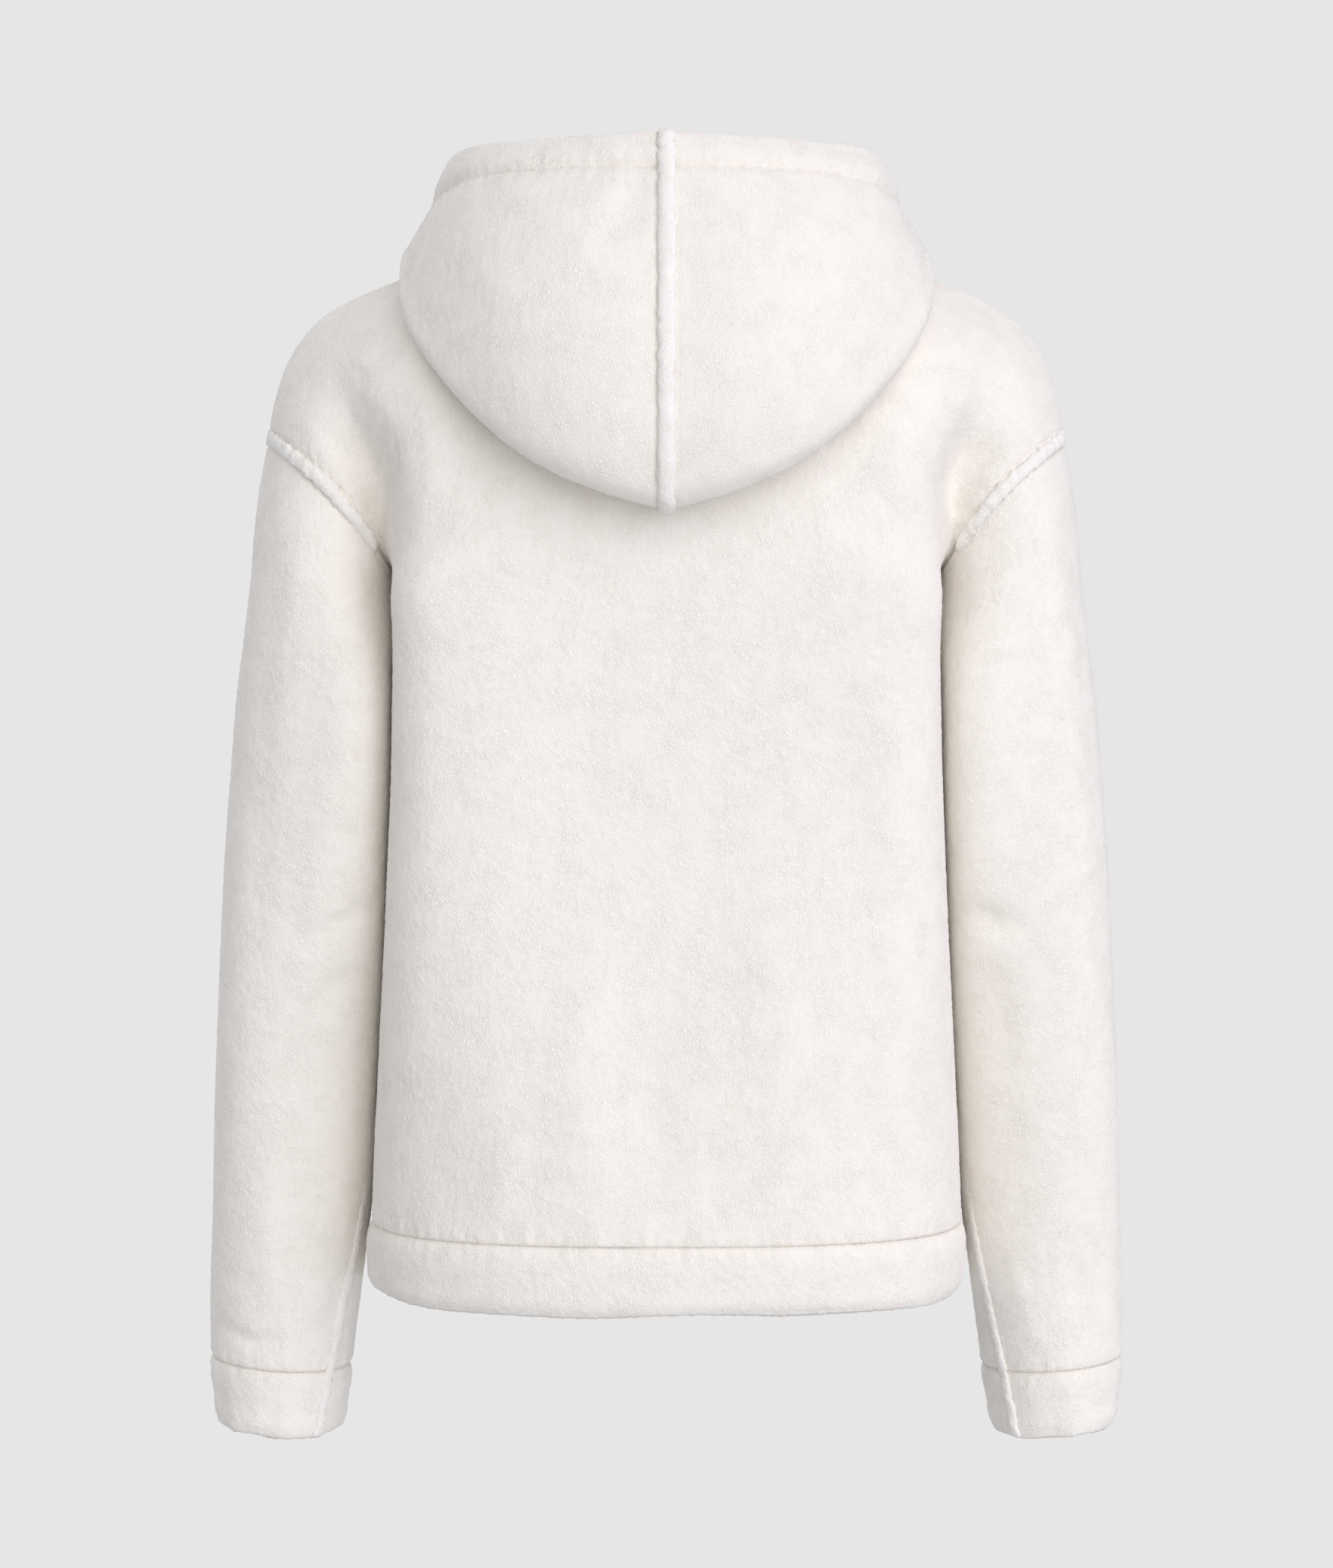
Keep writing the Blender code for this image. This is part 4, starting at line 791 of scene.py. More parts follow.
def groove(distance, depth, reach):
    """Soft groove beside a seam."""
    return -depth * np.exp(-(distance / reach) ** 2)


def ridge_groove(distance):
    """Soft groove at the foot of a raised seam, by the distance from its middle."""
    return groove(distance - RIDGE_WIDTH / 2 - RIDGE_GROOVE_OFF, *RIDGE_GROOVE)


def puckers(distance, along, height, length, reach, seed):
    """Short uneven gathers that run off from a seam."""
    return height * waves(along, length, seed) * np.exp(-(distance / reach) ** 2)


def gather(heights, distance, along, kinds, *seeds):
    """Add to heights the puckers of a seam, one kind for each seed, from beside its stitches."""
    clear = 1.0 - np.exp(-(distance / kinds[0]) ** 2)
    for kind, seed in zip(kinds[1:], seeds):
        heights += puckers(distance, along, *kind, seed) * clear


# Meshes -------------------------------------------------------------------------------------------

def grid_faces(first, rows, columns, closed_rows=False, closed_columns=False):
    """Four-sided faces of a grid whose points are numbered from first."""
    numbers = first + np.arange(rows * columns).reshape(rows, columns)
    if closed_columns:
        numbers = np.concatenate((numbers, numbers[:, :1]), axis=1)
    if closed_rows:
        numbers = np.concatenate((numbers, numbers[:1]), axis=0)
    corners = (numbers[:-1, :-1], numbers[:-1, 1:], numbers[1:, 1:], numbers[1:, :-1])
    return np.stack(corners, axis=-1).reshape(-1, 4).tolist()


def stitched(first, second):
    """Triangles of the strip between two lines of point numbers."""
    faces, i, j = [], 0, 0
    m, n = len(first) - 1, len(second) - 1
    while i < m or j < n:
        if j == n or (i < m and (i + 1) * n <= (j + 1) * m):
            faces.append((first[i], first[i + 1], second[j]))
            i += 1
        else:
            faces.append((first[i], second[j + 1], second[j]))
            j += 1
    return [face for face in faces if len(set(face)) == 3]


def piled(name, points, faces, weights, back=()):
    """One closed piece from points in millimetres. Its pile stands out by each point's weight.

    The faces in back, a range of their numbers, are the plain back of the cloth.
    """
    mesh = bpy.data.meshes.new(name)
    mesh.from_pydata((points * MM).tolist(), [], faces)
    shape = bmesh.new()
    shape.from_mesh(mesh)
    bmesh.ops.recalc_face_normals(shape, faces=shape.faces)
    shape.to_mesh(mesh)
    shape.free()
    mesh.shade_smooth()
    place = mesh.attributes.new("place", "FLOAT_VECTOR", "POINT")
    place.data.foreach_set("vector", (points * MM).astype(np.float32).ravel())
    weight = mesh.attributes.new("pile", "FLOAT", "POINT")
    weight.data.foreach_set("value", weights.astype(np.float32).ravel())
    mesh.materials.append(SHERPA)
    mesh.materials.append(SHERPA_BACK)
    indices = np.zeros(len(mesh.polygons), np.int32)
    indices[list(back)] = 1
    mesh.polygons.foreach_set("material_index", indices)
    piece = bpy.data.objects.new(name, mesh)
    bpy.context.scene.collection.objects.link(piece)
    piece.modifiers.new("pile", "NODES").node_group = PILE
    evaluated = piece.evaluated_get(bpy.context.evaluated_depsgraph_get())
    ready = bpy.data.meshes.new_from_object(evaluated)
    piece.modifiers.clear()
    piece.data = ready
    ready.name = name
    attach(piece, "root")
    return piece


def shell(name, outer, inner, weights, closed=False, turn=None):
    """Closed wall of cloth between a fine outer grid and a coarse inner one.

    Where the cloth turns back on itself, turn is the row of its free edge in the outer grid.
    """
    rows, columns = outer.shape[:2]
    far_rows, far_columns = inner.shape[:2]
    points = np.concatenate((outer.reshape(-1, 3), inner.reshape(-1, 3)))
    near = np.arange(rows * columns).reshape(rows, columns)
    far = rows * columns + np.arange(far_rows * far_columns).reshape(far_rows, far_columns)
    faces = grid_faces(0, rows, columns, closed_columns=closed)
    back_start = len(faces)
    faces += grid_faces(rows * columns, far_rows, far_columns, closed_columns=closed)
    back = range(back_start, len(faces))
    for row in (0, -1):
        line, other = list(near[row]), list(far[row])
        if closed:
            line, other = line + line[:1], other + other[:1]
        faces += stitched(line, other)
    if not closed:
        for column in (0, -1):
            line, other = list(near[:, column]), list(far[:, column])
            if turn is not None:
                line, other = line[:turn + 1], other + line[:turn - 1:-1]
            faces += stitched(line, other)
    full = np.concatenate((weights.ravel(), np.zeros(inner.shape[0] * inner.shape[1])))
    return piled(name, points, faces, full, back)


def seam_weight(distance):
    """How much of the pile stands at a distance from a seam."""
    left, reach = SEAM_PILE_LEFT
    return np.clip(left + (1.0 - left) * distance / reach, 0.0, 1.0)


def wrapped(grid, normals, swell):
    """A doubled edge as one run of rows: along its outer side, round its end and back inside."""
    outer = [half - WALL / 2 + swell * share for _, half, share in DOUBLED_EDGE]
    inner = [-half - WALL / 2 for _, half, _ in DOUBLED_EDGE]
    end = unit(grid[-1] - grid[-2])
    places = [grid[row] + normals[row] * outer[row] for row in range(EDGE_STEPS + 1)]
    ups = list(normals)
    ups[-1] = unit(normals[-1] + end)
    places.append(grid[-1] - normals[-1] * WALL / 2 + end * EDGE_CROWN)
    ups.append(end)
    for row in reversed(range(EDGE_STEPS + 1)):
        places.append(grid[row] + normals[row] * inner[row])
        ups.append(-normals[row])
    ups[EDGE_STEPS + 2] = unit(end - normals[-1])
    return np.array(places), np.array(ups)


def soft_fade(distance):
    """Zero on a seam and one well inside it."""
    return np.clip(distance / EDGE_FADE, 0.0, 1.0) ** EDGE_FADE_CURVE


def creased(grid, normals, step, piece, closed=False):
    """Fine places and normals of plain cloth with its creases, which fade out before its seams."""
    points, ups = refined(grid, normals, step, closed)
    down, up, left, right = from_edges(points)
    nearest = np.minimum(down, up)
    if not closed:
        nearest = np.minimum(nearest, np.minimum(left, right))
    heights = crease_heights(points, ups, piece) * soft_fade(nearest)
    return points + ups * heights[..., None], ups


def lining(grid, normals, step, piece, closed=False):
    """The plain back of the cloth, one wall below its right side."""
    points, ups = creased(grid, normals, step, piece, closed)
    return points - ups * WALL


def build_panel(name, facing, grid, normals, step):
    """Back or front panel. Gives back its piece, and its fine places and normals for the seams."""
    base, ups = creased(grid, normals, step, "body")
    down, up, left, right = from_edges(base)
    sides = np.minimum(left, right)
    lowest = armhole_point(ARMHOLE_RIDGE_END)[2]
    beside_arm = np.clip((base[..., 2] - lowest) / ARMHOLE_FADE, 0.0, 1.0)
    heights = groove(down, *HEM_GROOVE) + groove(up, *PLAIN_GROOVE) + groove(sides, *PLAIN_GROOVE)
    gather(heights, down, left, HEM_PUCKERS, *(seed + facing for seed in PANEL_SEEDS))
    heights += ridge_groove(sides) * beside_arm
    start, kind = ARMHOLE_PUCKERS
    risen = np.clip(sides / start, 0, 1)
    heights += puckers(sides - start, down, *kind, ARMHOLE_SEED) * beside_arm * risen
    outer = base + ups * heights[..., None]
    weights = seam_weight(np.minimum(np.minimum(down, up), sides))
    return shell(name, outer, lining(grid, normals, INNER_STEP, "body"), weights), base, ups


def build_loop(name, grid, normals, swell, step, seed, wave):
    """Doubled ring of cloth: hem band or cuff, with the seam that joins it to the cloth above."""
    places, ups = wrapped(grid, normals, swell)
    points, ups = refined(places, ups, step, closed=True)
    down, up, along, _ = from_edges(points)
    length = down[-1].mean()
    share = np.clip(down / (WAVES_FULL * length), 0.0, 1.0)
    along = along[:1] * np.ones_like(down)
    around = along / along[0, -1] * 2 * math.pi
    heights = groove(down, *HEM_GROOVE)
    gather(heights, down, along, HEM_PUCKERS, seed)
    outside = np.where(down < 0.5 * length, 1.0, 0.0)
    heights += wave * ring_waves(around, OUTWARD_WAVES, seed) * share * outside
    points = points + ups * heights[..., None]
    points[..., 2] += wave * share ** 2 * ring_waves(around, DOWNWARD_WAVES, seed)
    rows, columns = points.shape[:2]
    faces = grid_faces(0, rows, columns, closed_rows=True, closed_columns=True)
    weights = seam_weight(np.minimum(down, up))
    return piled(name, points.reshape(-1, 3), faces, weights), points, ups


def build_sleeve(side, grid, normals, step):
    """A sleeve down to its cuff. Gives back its piece and its fine places and normals."""
    base, ups = creased(grid, normals, step, "sleeve", closed=True)
    down, up, along, _ = from_edges(base)
    seed = SEEDS["sleeve"][side]
    heights = groove(down, *PLAIN_GROOVE) + groove(up, *HEM_GROOVE)
    gather(heights, up, along, CUFF_PUCKERS, seed, seed + 1)
    heights += ridge_groove(down)
    inward = -math.copysign(1.0, base[0, 0, 0]) * ups[..., 0]
    (top, top_fade), (end, end_fade), (least, span) = PRESSED_FROM, PRESSED_TO, PRESSED_FACING
    level = np.clip((top - base[..., 2]) / top_fade, 0, 1)
    level = level * np.clip((base[..., 2] - end) / end_fade, 0, 1)
    heights += PRESSED * level * np.clip((inward - least) / span, 0.0, 1.0)
    outer = base + ups * heights[..., None]
    inner = lining(grid, normals, INNER_STEP, "sleeve", closed=True)
    weights = seam_weight(np.minimum(down, up))
    return shell("sleeve_cloth_" + side, outer, inner, weights, closed=True), base, ups


def build_hood_half(side, grid, normals, step):
    """Half of the hood, its casing turned in along the opening.

    Gives back its piece, its fine places and normals, and the row where the casing turns in.
    """
    plain = ROLL_ROWS + INNER_ROWS + OUTER_ROWS
    casing, casing_ups = wrapped(grid[plain:], normals[plain:], CASING_SWELL)
    places = np.concatenate((grid[:plain], casing))
    points, ups = refined(places, np.concatenate((normals[:plain], casing_ups)), step)
    down, up, left, right = from_edges(points)
    runs = run_lengths(places)
    line = runs[plain] / runs[-1]
    line = np.interp(np.linspace(0.0, 1.0, points.shape[1]), np.linspace(0.0, 1.0, len(line)), line)
    from_line = (down / down[-1:] - line) * down[-1:]
    sides = np.minimum(left, right)
    heights = crease_heights(points, ups, "hood") * soft_fade(np.minimum(sides, down))
    base = points + ups * heights[..., None]
    seed = SEEDS["hood"][side]
    heights = groove(down, *PLAIN_GROOVE) + groove(left, *PLAIN_GROOVE)
    heights += groove(from_line, *CASING_GROOVE)
    gather(heights, from_line, left, CASING_PUCKERS, seed, seed + 1)
    heights += ridge_groove(left)
    outer = base + ups * heights[..., None]
    inner = lining(grid[:plain + 1], normals[:plain + 1], HOOD_INNER_STEP, "hood")
    length = (run_lengths(grid)[plain] + run_lengths(casing)[EDGE_STEPS + 1]).mean()
    turn = round((len(points) - 1) * length / down[-1].mean())
    weights = seam_weight(np.minimum(np.minimum(down, up), sides))
    mean, swing, wave, most = CASING_STITCHES
    stitches = np.clip(mean + swing * waves(left, wave, seed + 2), 0.0, most)
    weights = weights * (1.0 - stitches * np.exp(-(from_line / CASING_STITCHES_REACH) ** 2))
    return shell("hood_cloth_" + side, outer, inner, weights, turn=turn), base, ups, turn


def rope(name, left, middle, right, ups, height, seed, start_fade=ROPE_FADE, end_fade=ROPE_FADE):
    """Raised seam: a soft half-round rope of pile from section to section, over the stitching."""
    run = run_lengths(middle)
    ends = np.clip(np.minimum(run / start_fade, (run[-1] - run) / end_fade), 0.0, 1.0)
    toward = np.clip(ROPE_FACING[0] * np.abs(ups[:, 1]) + ROPE_FACING[1], 0.0, 1.0)
    tall = height * (ROPE_END + (1.0 - ROPE_END) * np.sin(ends * math.pi / 2))
    swing, wave = ROPE_HEIGHT_WAVES
    tall = tall * (1 + swing * waves(run, wave, seed)) * toward
    swing, wave = ROPE_SHIFT_WAVES
    shift = swing * waves(run, wave, seed + 1)
    swing, *kinds = ROPE_SIDE_WAVES
    scallops = [1 + swing * waves(run, wave, seed + more)[:, None] for wave, more in kinds]
    sections = []
    for turn in np.linspace(0.0, 2 * math.pi, ROPE_POINTS, endpoint=False):
        across, rise = math.cos(turn), math.sin(turn)
        aside = (right - middle) * scallops[0] * max(across, 0.0)
        aside += (left - middle) * scallops[1] * max(-across, 0.0)
        over = unit(right - left) * shift[:, None] * (1 - across * across)
        lift = tall * rise ** ROPE_ROUNDNESS if rise > 0 else ROPE_ROOT * rise * np.ones_like(tall)
        sections.append(middle + aside + over + ups * lift[:, None])
    points = np.array(sections).transpose(1, 0, 2)
    rows, columns = points.shape[:2]
    faces = grid_faces(0, rows, columns, closed_columns=True)
    faces += [tuple(range(columns)), tuple(range(rows * columns - columns, rows * columns))]
    weights = np.full((rows, columns), SEAM_PILE)
    weights[:, ROPE_POINTS // 2 + 1:] = 0.0
    return piled(name, points.reshape(-1, 3), faces, weights)


def feet(points, distance, from_last=False):
    """For each row of a grid, the place at a distance from its first or last column."""
    if from_last:
        points = points[:, ::-1]
    over = from_edges(points)[2]
    return np.array([[np.interp(distance, over[row], points[row, :, axis]) for axis in range(3)]
                     for row in range(len(points))])


def build_armhole_seam(side, panels, sleeve):
    """Raised seam round an armhole, left out under the arm."""
    lowest = armhole_point(ARMHOLE_RIDGE_END)[2]
    left, middle, ups = [], [], []
    for facing in (BACK, FRONT):
        points, normals = panels[facing]
        edge = -1 if side == "right" else 0
        rows = np.arange(len(points))[points[:, edge, 2] > lowest]
        if facing == FRONT:
            rows = rows[::-1][1:]
        left.append(feet(points[rows], RIDGE_WIDTH / 2, from_last=edge == -1))
        middle.append(points[rows, edge])
        ups.append(normals[rows, edge])
    left, middle, ups = (np.concatenate(lines) for lines in (left, middle, ups))
    foot = feet(sleeve.transpose(1, 0, 2), RIDGE_WIDTH / 2)
    away = np.linalg.norm(middle[:, None] - sleeve[0][None], axis=-1)
    share = np.exp(-(away / ARMHOLE_RIDGE_NEAR) ** 2)
    right = (share @ foot) / share.sum(axis=1, keepdims=True)
    return rope("armhole_rope_" + side, left, middle, right, ups, ARMHOLE_RIDGE_HEIGHT,
                SEEDS["armhole_rope"][side])


def build_sleeve_seam(side, sleeve, sleeve_ups, cuff, cuff_ups):
    """Raised seam along the inside of a forearm and across its cuff."""
    start = round(len(sleeve) * SLEEVE_RIDGE_ROW / SLEEVE_ROWS)
    half = len(cuff) // 2
    lines = [*zip(sleeve[start:], sleeve_ups[start:]), *zip(cuff[1:half], cuff_ups[1:half])]
    left, middle, right, ups = [], [], [], []
    for index, (ring, normals) in enumerate(lines):
        share = index / (len(lines) - 1)
        place = (0.5 - (SLEEVE_RIDGE_START + SLEEVE_RIDGE_TURN * share) / 360.0) * len(ring)
        column, blend = int(place), place - int(place)
        ring = np.concatenate((ring, ring[:1]))
        normals = np.concatenate((normals, normals[:1]))
        centre = ring[column] * (1 - blend) + ring[column + 1] * blend
        aside = unit(ring[column + 1] - ring[column]) * RIDGE_WIDTH * SLEEVE_RIDGE_SHARE
        left.append(centre - aside)
        middle.append(centre)
        right.append(centre + aside)
        ups.append(unit(normals[column] * (1 - blend) + normals[column + 1] * blend))
    return rope("sleeve_rope_" + side, *(np.array(line) for line in (left, middle, right, ups)),
                SLEEVE_RIDGE_HEIGHT, SEEDS["sleeve_rope"][side], *SLEEVE_RIDGE_FADES)


def build_hood_seam(halves):
    """Raised seam up the middle of the hood's outer layer, from its fold to the casing's edge."""
    points, normals, turn = halves["right"]
    fold = int(np.argmin(points[:, 0, 2]))
    rows = np.arange(fold - HOOD_RIDGE_START, turn)
    left, right = (feet(halves[side][0][rows], HOOD_RIDGE_WIDTH / 2) for side in ("left", "right"))
    return rope("hood_rope", left, points[rows, 0], right, normals[rows, 0], HOOD_RIDGE_HEIGHT,
                HOOD_ROPE_SEED, end_fade=HOOD_RIDGE_FADE)


# Pile and materials -------------------------------------------------------------------------------

def add(tree, kind, settings=None, inputs=None, output=0):
    """A new node of a tree with its settings and inputs. Gives back one of its outputs."""
    made = tree.nodes.new(kind)
    for key, value in (settings or {}).items():
        setattr(made, key, value)
    for key, value in (inputs or {}).items():
        if isinstance(value, bpy.types.NodeSocket):
            tree.links.new(value, made.inputs[key])
        else:
            made.inputs[key].default_value = value
    return made.outputs[output]


def maths(tree, operation, *values):
    """Result of one sum on numbers."""
    return add(tree, "ShaderNodeMath", {"operation": operation}, dict(enumerate(values)))


def vector(tree, operation, *values):
    """Result of one sum on vectors."""
    return add(tree, "ShaderNodeVectorMath", {"operation": operation}, dict(enumerate(values)))


def eased(tree, value, low, high, start=0.0, end=1.0):
    """Value brought smoothly from low..high to start..end."""
    return add(tree, "ShaderNodeMapRange", {"interpolation_type": "SMOOTHSTEP"},
               {0: value, 1: low, 2: high, 3: start, 4: end})


def blended(tree, share, first, second):
    """Colour that goes from first to second with its share."""
    return add(tree, "ShaderNodeMix", {"data_type": "RGBA"}, {0: share, 6: first, 7: second}, 2)


def noise(tree, place, scale, detail=2.0, output=0):
    """Soft noise with that many waves to a metre."""
    return add(tree, "ShaderNodeTexNoise", {"noise_dimensions": "3D"},
               {"Vector": place, "Scale": scale, "Detail": detail, "Roughness": 0.5}, output)


def walls(tree, place, stretch, scale, wave_scale, far):
    """Distance from the walls of upright cells, that many to a metre, whose walls wander."""
    place = vector(tree, "MULTIPLY", place, (1.0, 1.0, stretch))
    drift = vector(tree, "SUBTRACT", noise(tree, place, wave_scale, output=1), (0.5, 0.5, 0.5))
    place = vector(tree, "ADD", place, vector(tree, "MULTIPLY", drift, (far, far, far)))
    return add(tree, "ShaderNodeTexVoronoi",
               {"feature": "DISTANCE_TO_EDGE", "voronoi_dimensions": "3D"},
               {"Vector": place, "Scale": scale}, "Distance")


def parted(tree, place, edge, width, patches, fill):
    """Cracks along the walls of cells, 0 at their bottom. How full they are differs by patches."""
    scale, detail, low, high = patches
    patch = eased(tree, noise(tree, place, scale, detail), low, high)
    return maths(tree, "MAXIMUM", eased(tree, edge, 0.0, width),
                 eased(tree, patch, 0.0, 1.0, *fill))


def pile_heights(tree, place):
    """The pile at a place: cracks, curls in small cells, fibres and broad lumps, from 0 to 1."""
    edge = walls(tree, place, *CURLS)
    curls = eased(tree, edge, 0.0, CURL_ROUND)
    cracks = maths(tree, "MULTIPLY", parted(tree, place, edge, *CURL_CRACKS),
                   parted(tree, place, walls(tree, place, *LOCKS), *LOCK_CRACKS))
    stretch, scale = FIBRES
    fibres = noise(tree, vector(tree, "MULTIPLY", place, (1.0, 1.0, stretch)), scale)
    return cracks, curls, fibres, noise(tree, place, LUMPS)


def pile_modifier():
    """Geometry nodes that raise each point by the pile at its place."""
    tree = bpy.data.node_groups.new("pile", "GeometryNodeTree")
    tree.interface.new_socket("Geometry", in_out="INPUT", socket_type="NodeSocketGeometry")
    tree.interface.new_socket("Geometry", in_out="OUTPUT", socket_type="NodeSocketGeometry")
    named = "GeometryNodeInputNamedAttribute"
    place = add(tree, named, {"data_type": "FLOAT_VECTOR"}, {"Name": "place"})
    weight = add(tree, named, {"data_type": "FLOAT"}, {"Name": "pile"})
    height = 0.0
    for part, (level, size) in zip(pile_heights(tree, place), PILE_PARTS):
        part = maths(tree, "SUBTRACT", part, level)
        height = maths(tree, "MULTIPLY_ADD", part, size, height)
    height = maths(tree, "MULTIPLY", height, weight)
    offset = add(tree, "ShaderNodeVectorMath", {"operation": "SCALE"},
                 {0: add(tree, "GeometryNodeInputNormal"), "Scale": height})
    start = tree.nodes.new("NodeGroupInput")
    end = tree.nodes.new("NodeGroupOutput")
    moved = add(tree, "GeometryNodeSetPosition", None,
                {"Geometry": start.outputs[0], "Offset": offset})
    tree.links.new(moved, end.inputs[0])
    return tree


def fleece(name, crack_shade, top, bump, bump_distance, groove_shade):
    """Cream sherpa with warm shade painted into the cracks between curls and the grooves beside
    seams, and a painted highlight on raised seams.
    """
    material = bpy.data.materials.new(name)
    material.use_nodes = True
    tree = material.node_tree
    shader = tree.nodes["Principled BSDF"]
    place = add(tree, "ShaderNodeAttribute", {"attribute_name": "place"}, None, "Vector")
    cracks, curls, fibres, lumps = pile_heights(tree, place)
    # Share of each place out of the painted crack shade: the curls lift it and the fibres add a
    # random tone.
    swing, rest, fine = UNSHADED_PARTS
    unshaded = maths(tree, "MULTIPLY", cracks, maths(tree, "MULTIPLY_ADD", curls, swing, rest))
    unshaded = maths(tree, "MULTIPLY_ADD", maths(tree, "SUBTRACT", fibres, 0.5), fine, unshaded)
    weight = add(tree, "ShaderNodeAttribute", {"attribute_name": "pile"}, None, "Fac")
    # Painted highlight: raised seams get a whiter top colour.
    top = blended(tree, eased(tree, weight, 1.0, SEAM_PILE), top, SEAM_HIGHLIGHT)
    # Painted shade: the crack colour where that share is low, the top colour where it is full.
    colour = blended(tree, eased(tree, unshaded, 0.0, UNSHADED_FULL), crack_shade, top)
    # Painted shade: the groove colour where the pile weight is low, beside seams and stitching.
    colour = blended(tree, eased(tree, weight, *GROOVE_SHADE_RANGE), groove_shade, colour)
    shade = maths(tree, "MULTIPLY_ADD", maths(tree, "SUBTRACT", lumps, 0.5), LUMP_SHADE, 1.0)
    colour = add(tree, "ShaderNodeVectorMath", {"operation": "SCALE"}, {0: colour, "Scale": shade})
    tree.links.new(colour, shader.inputs["Base Color"])
    of_cracks, of_curls, of_fibres = BUMP_PARTS
    scale, *patches = BUMP_PATCHES
    height = maths(tree, "MULTIPLY", cracks, of_cracks)
    height = maths(tree, "MULTIPLY_ADD", curls, of_curls, height)
    height = maths(tree, "MULTIPLY", height, eased(tree, noise(tree, place, scale), *patches))
    height = maths(tree, "MULTIPLY_ADD", fibres, of_fibres, height)
    normal = add(tree, "ShaderNodeBump", None,
                 {"Strength": bump, "Distance": bump_distance, "Height": height})
    tree.links.new(normal, shader.inputs["Normal"])
    for name, value in SURFACE.items():
        shader.inputs[name].default_value = value
    return material


# Studio -------------------------------------------------------------------------------------------

def glowing(name):
    """Evenly lit pale paper."""
    material = bpy.data.materials.new(name)
    material.use_nodes = True
    tree = material.node_tree
    tree.nodes.clear()
    glow = add(tree, "ShaderNodeEmission", None, {"Color": (*BACKGROUND, 1.0), "Strength": 1.0})
    end = tree.nodes.new("ShaderNodeOutputMaterial")
    tree.links.new(glow, end.inputs["Surface"])
    return material


def soft_light(name, direction, strength, angle, colour):
    """A far soft light that shines along a direction."""
    light = bpy.data.lights.new(name, "SUN")
    light.energy = strength
    light.angle = math.radians(angle)
    light.color = colour
    lamp = bpy.data.objects.new(name, light)
    lamp.rotation_euler = Vector(direction).to_track_quat("-Z", "Y").to_euler()
    bpy.context.scene.collection.objects.link(lamp)


def build_studio():
    """Pale seamless floor and surround, soft light from all round, and the camera."""
    scene = bpy.context.scene
    scene.view_settings.view_transform = "Standard"
    world = bpy.data.worlds.new("surround")
    world.use_nodes = True
    world.node_tree.nodes["Background"].inputs["Color"].default_value = SURROUND_LIGHT
    scene.world = world
    paper = glowing("paper")
    mesh = bpy.data.meshes.new("floor")
    signs = ((-1, -1), (1, -1), (1, 1), (-1, 1))
    mesh.from_pydata([(FLOOR_SIZE * x, FLOOR_SIZE * y, FLOOR_Z) for x, y in signs], [],
                     [(0, 1, 2, 3)])
    mesh.materials.append(paper)
    floor = bpy.data.objects.new("floor", mesh)
    backdrop_mesh = bpy.data.meshes.new("backdrop")
    sphere = bmesh.new()
    bmesh.ops.create_icosphere(sphere, subdivisions=3, radius=SURROUND_RADIUS)
    sphere.to_mesh(backdrop_mesh)
    sphere.free()
    backdrop_mesh.materials.append(paper)
    backdrop = bpy.data.objects.new("backdrop", backdrop_mesh)
    for stage in (floor, backdrop):
        stage.visible_diffuse = False
        stage.visible_glossy = False
        stage.visible_shadow = False
        scene.collection.objects.link(stage)
    for light in LIGHTS:
        soft_light(*light)
    camera = bpy.data.objects.new("camera", bpy.data.cameras.new("camera"))
    camera.data.lens = SENSOR * CAMERA_DISTANCE / (FRAME_PIXELS * PIXEL)
    camera.data.sensor_width = SENSOR
    camera.location = (0.0, -CAMERA_DISTANCE, CAMERA_Z)
    camera.rotation_euler = (math.pi / 2, 0.0, 0.0)
    scene.collection.objects.link(camera)
    scene.camera = camera


# The garment --------------------------------------------------------------------------------------

def declare(points, closed=False):
    """Takes a piece's fine grid and, on a tube, adds its first column again at the end; nothing is
    kept.
    """
    if closed:
        points = np.concatenate((points, points[:, :1]), axis=1)


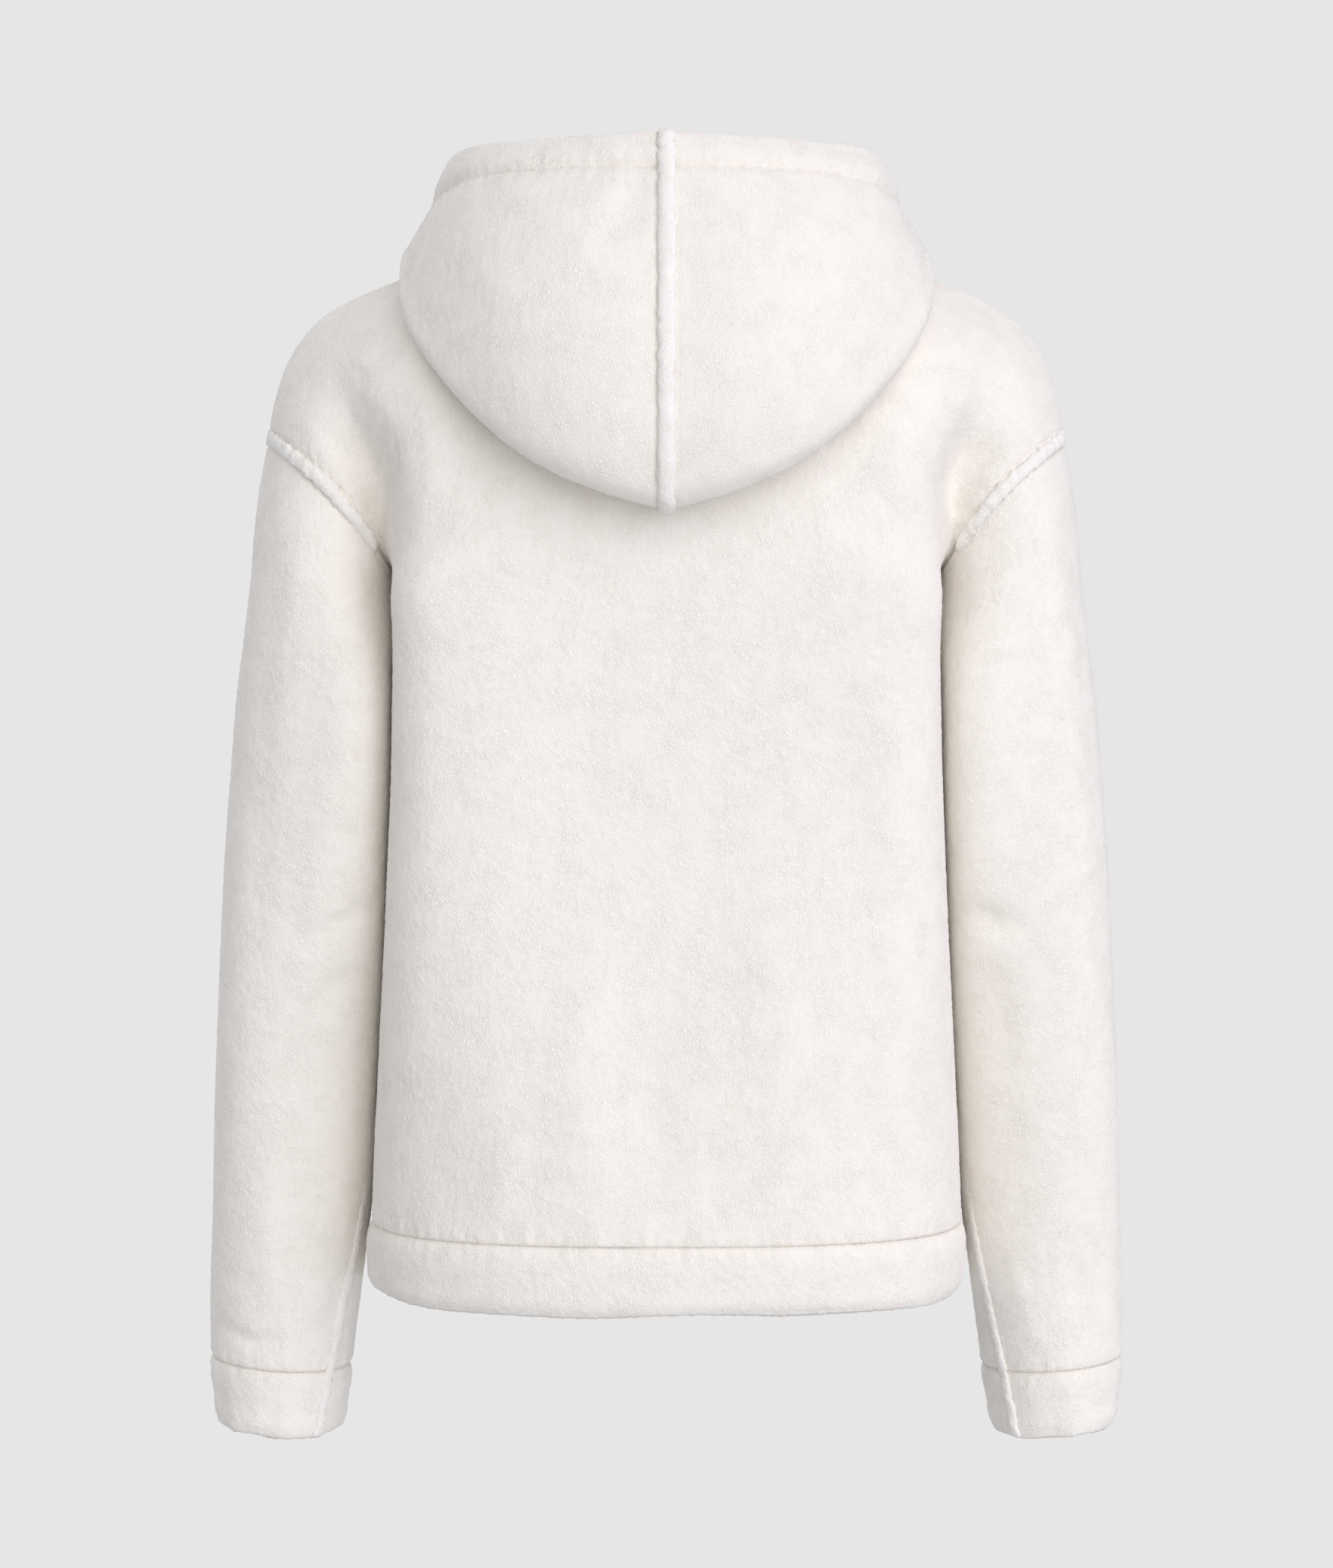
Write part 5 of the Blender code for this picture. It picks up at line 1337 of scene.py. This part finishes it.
def build_garment():
    """Every sewn piece of the pullover, each in place of its solid."""
    panels = {facing: both_halves(half_panel(facing)) for facing in (BACK, FRONT)}
    bands = {facing: both_halves(half_band(facing)) for facing in (BACK, FRONT)}
    panel_normals, band_normals = body_normals(panels, bands)
    sleeve = sleeve_grid()
    sleeve_normals = grid_normals(sleeve, closed=True)
    hood = hood_grid()
    beyond = np.concatenate((mirrored(hood[:, 1:2]), hood, mirrored(hood[:, -2:-1])), axis=1)
    hood_normals = grid_normals(beyond)[:, 1:-1]
    join_neck(panel_normals, hood_normals)
    join_armhole(panels, panel_normals, sleeve, sleeve_normals)

    made, fine, halves = {}, {}, {}
    for facing, name in ((BACK, "back"), (FRONT, "front")):
        piece, *fine[facing] = build_panel(name + "_cloth", facing, panels[facing],
                                           panel_normals[facing], STEPS[name])
        declare(fine[facing][0])
        made[name + "_panel"] = piece
    ring, ring_normals = (np.concatenate((grids[BACK], grids[FRONT][:, -2:0:-1]), axis=1)
                          for grids in (bands, band_normals))
    made["hem_band"], points, _ = build_loop("hem_band_cloth", ring, ring_normals, BAND_SWELL,
                                             STEPS["band"], BAND_SEED, BAND_WAVE)
    declare(points[:len(points) // 2], closed=True)
    for side, turned in (("right", np.array), ("left", mirrored)):
        grid, normals = turned(sleeve), turned(sleeve_normals)
        arm, end = slice(0, SLEEVE_ROWS + 1), slice(SLEEVE_ROWS, None)
        piece, *arm_lines = build_sleeve(side, grid[arm], normals[arm], STEPS["sleeve"])
        cuff, *cuff_lines = build_loop("cuff_cloth_" + side, grid[end], normals[end], CUFF_SWELL,
                                       STEPS["cuff"], SEEDS["cuff"][side], CUFF_WAVE)
        seams = (build_armhole_seam(side, fine, arm_lines[0]),
                 build_sleeve_seam(side, *arm_lines, *cuff_lines))
        declare(arm_lines[0], closed=True)
        declare(cuff_lines[0][:len(cuff_lines[0]) // 2], closed=True)
        hood_half, *halves[side] = build_hood_half(side, turned(hood), turned(hood_normals),
                                                   STEPS["hood"])
        for name, one in (("sleeve_", piece), ("cuff_", cuff), ("armhole_seam_", seams[0]),
                          ("sleeve_seam_", seams[1]), ("hood_", hood_half)):
            made[name + side] = one
    made["hood_seam"] = build_hood_seam(halves)
    for side, (points, _, turn) in halves.items():
        declare(points[:turn + 1])
    for node_name, piece in made.items():
        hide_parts(node_name)


SHERPA = fleece("sherpa", CRACK_SHADE, TOP, 1.0, BUMP_DISTANCE, SEAM_GROOVE_SHADE)
SHERPA_BACK = fleece("sherpa_back", BACK_CRACK_SHADE, BACK_TOP, 0.5, BUMP_DISTANCE / 2, BACK_TOP)
PILE = pile_modifier()
build_studio()
build_garment()
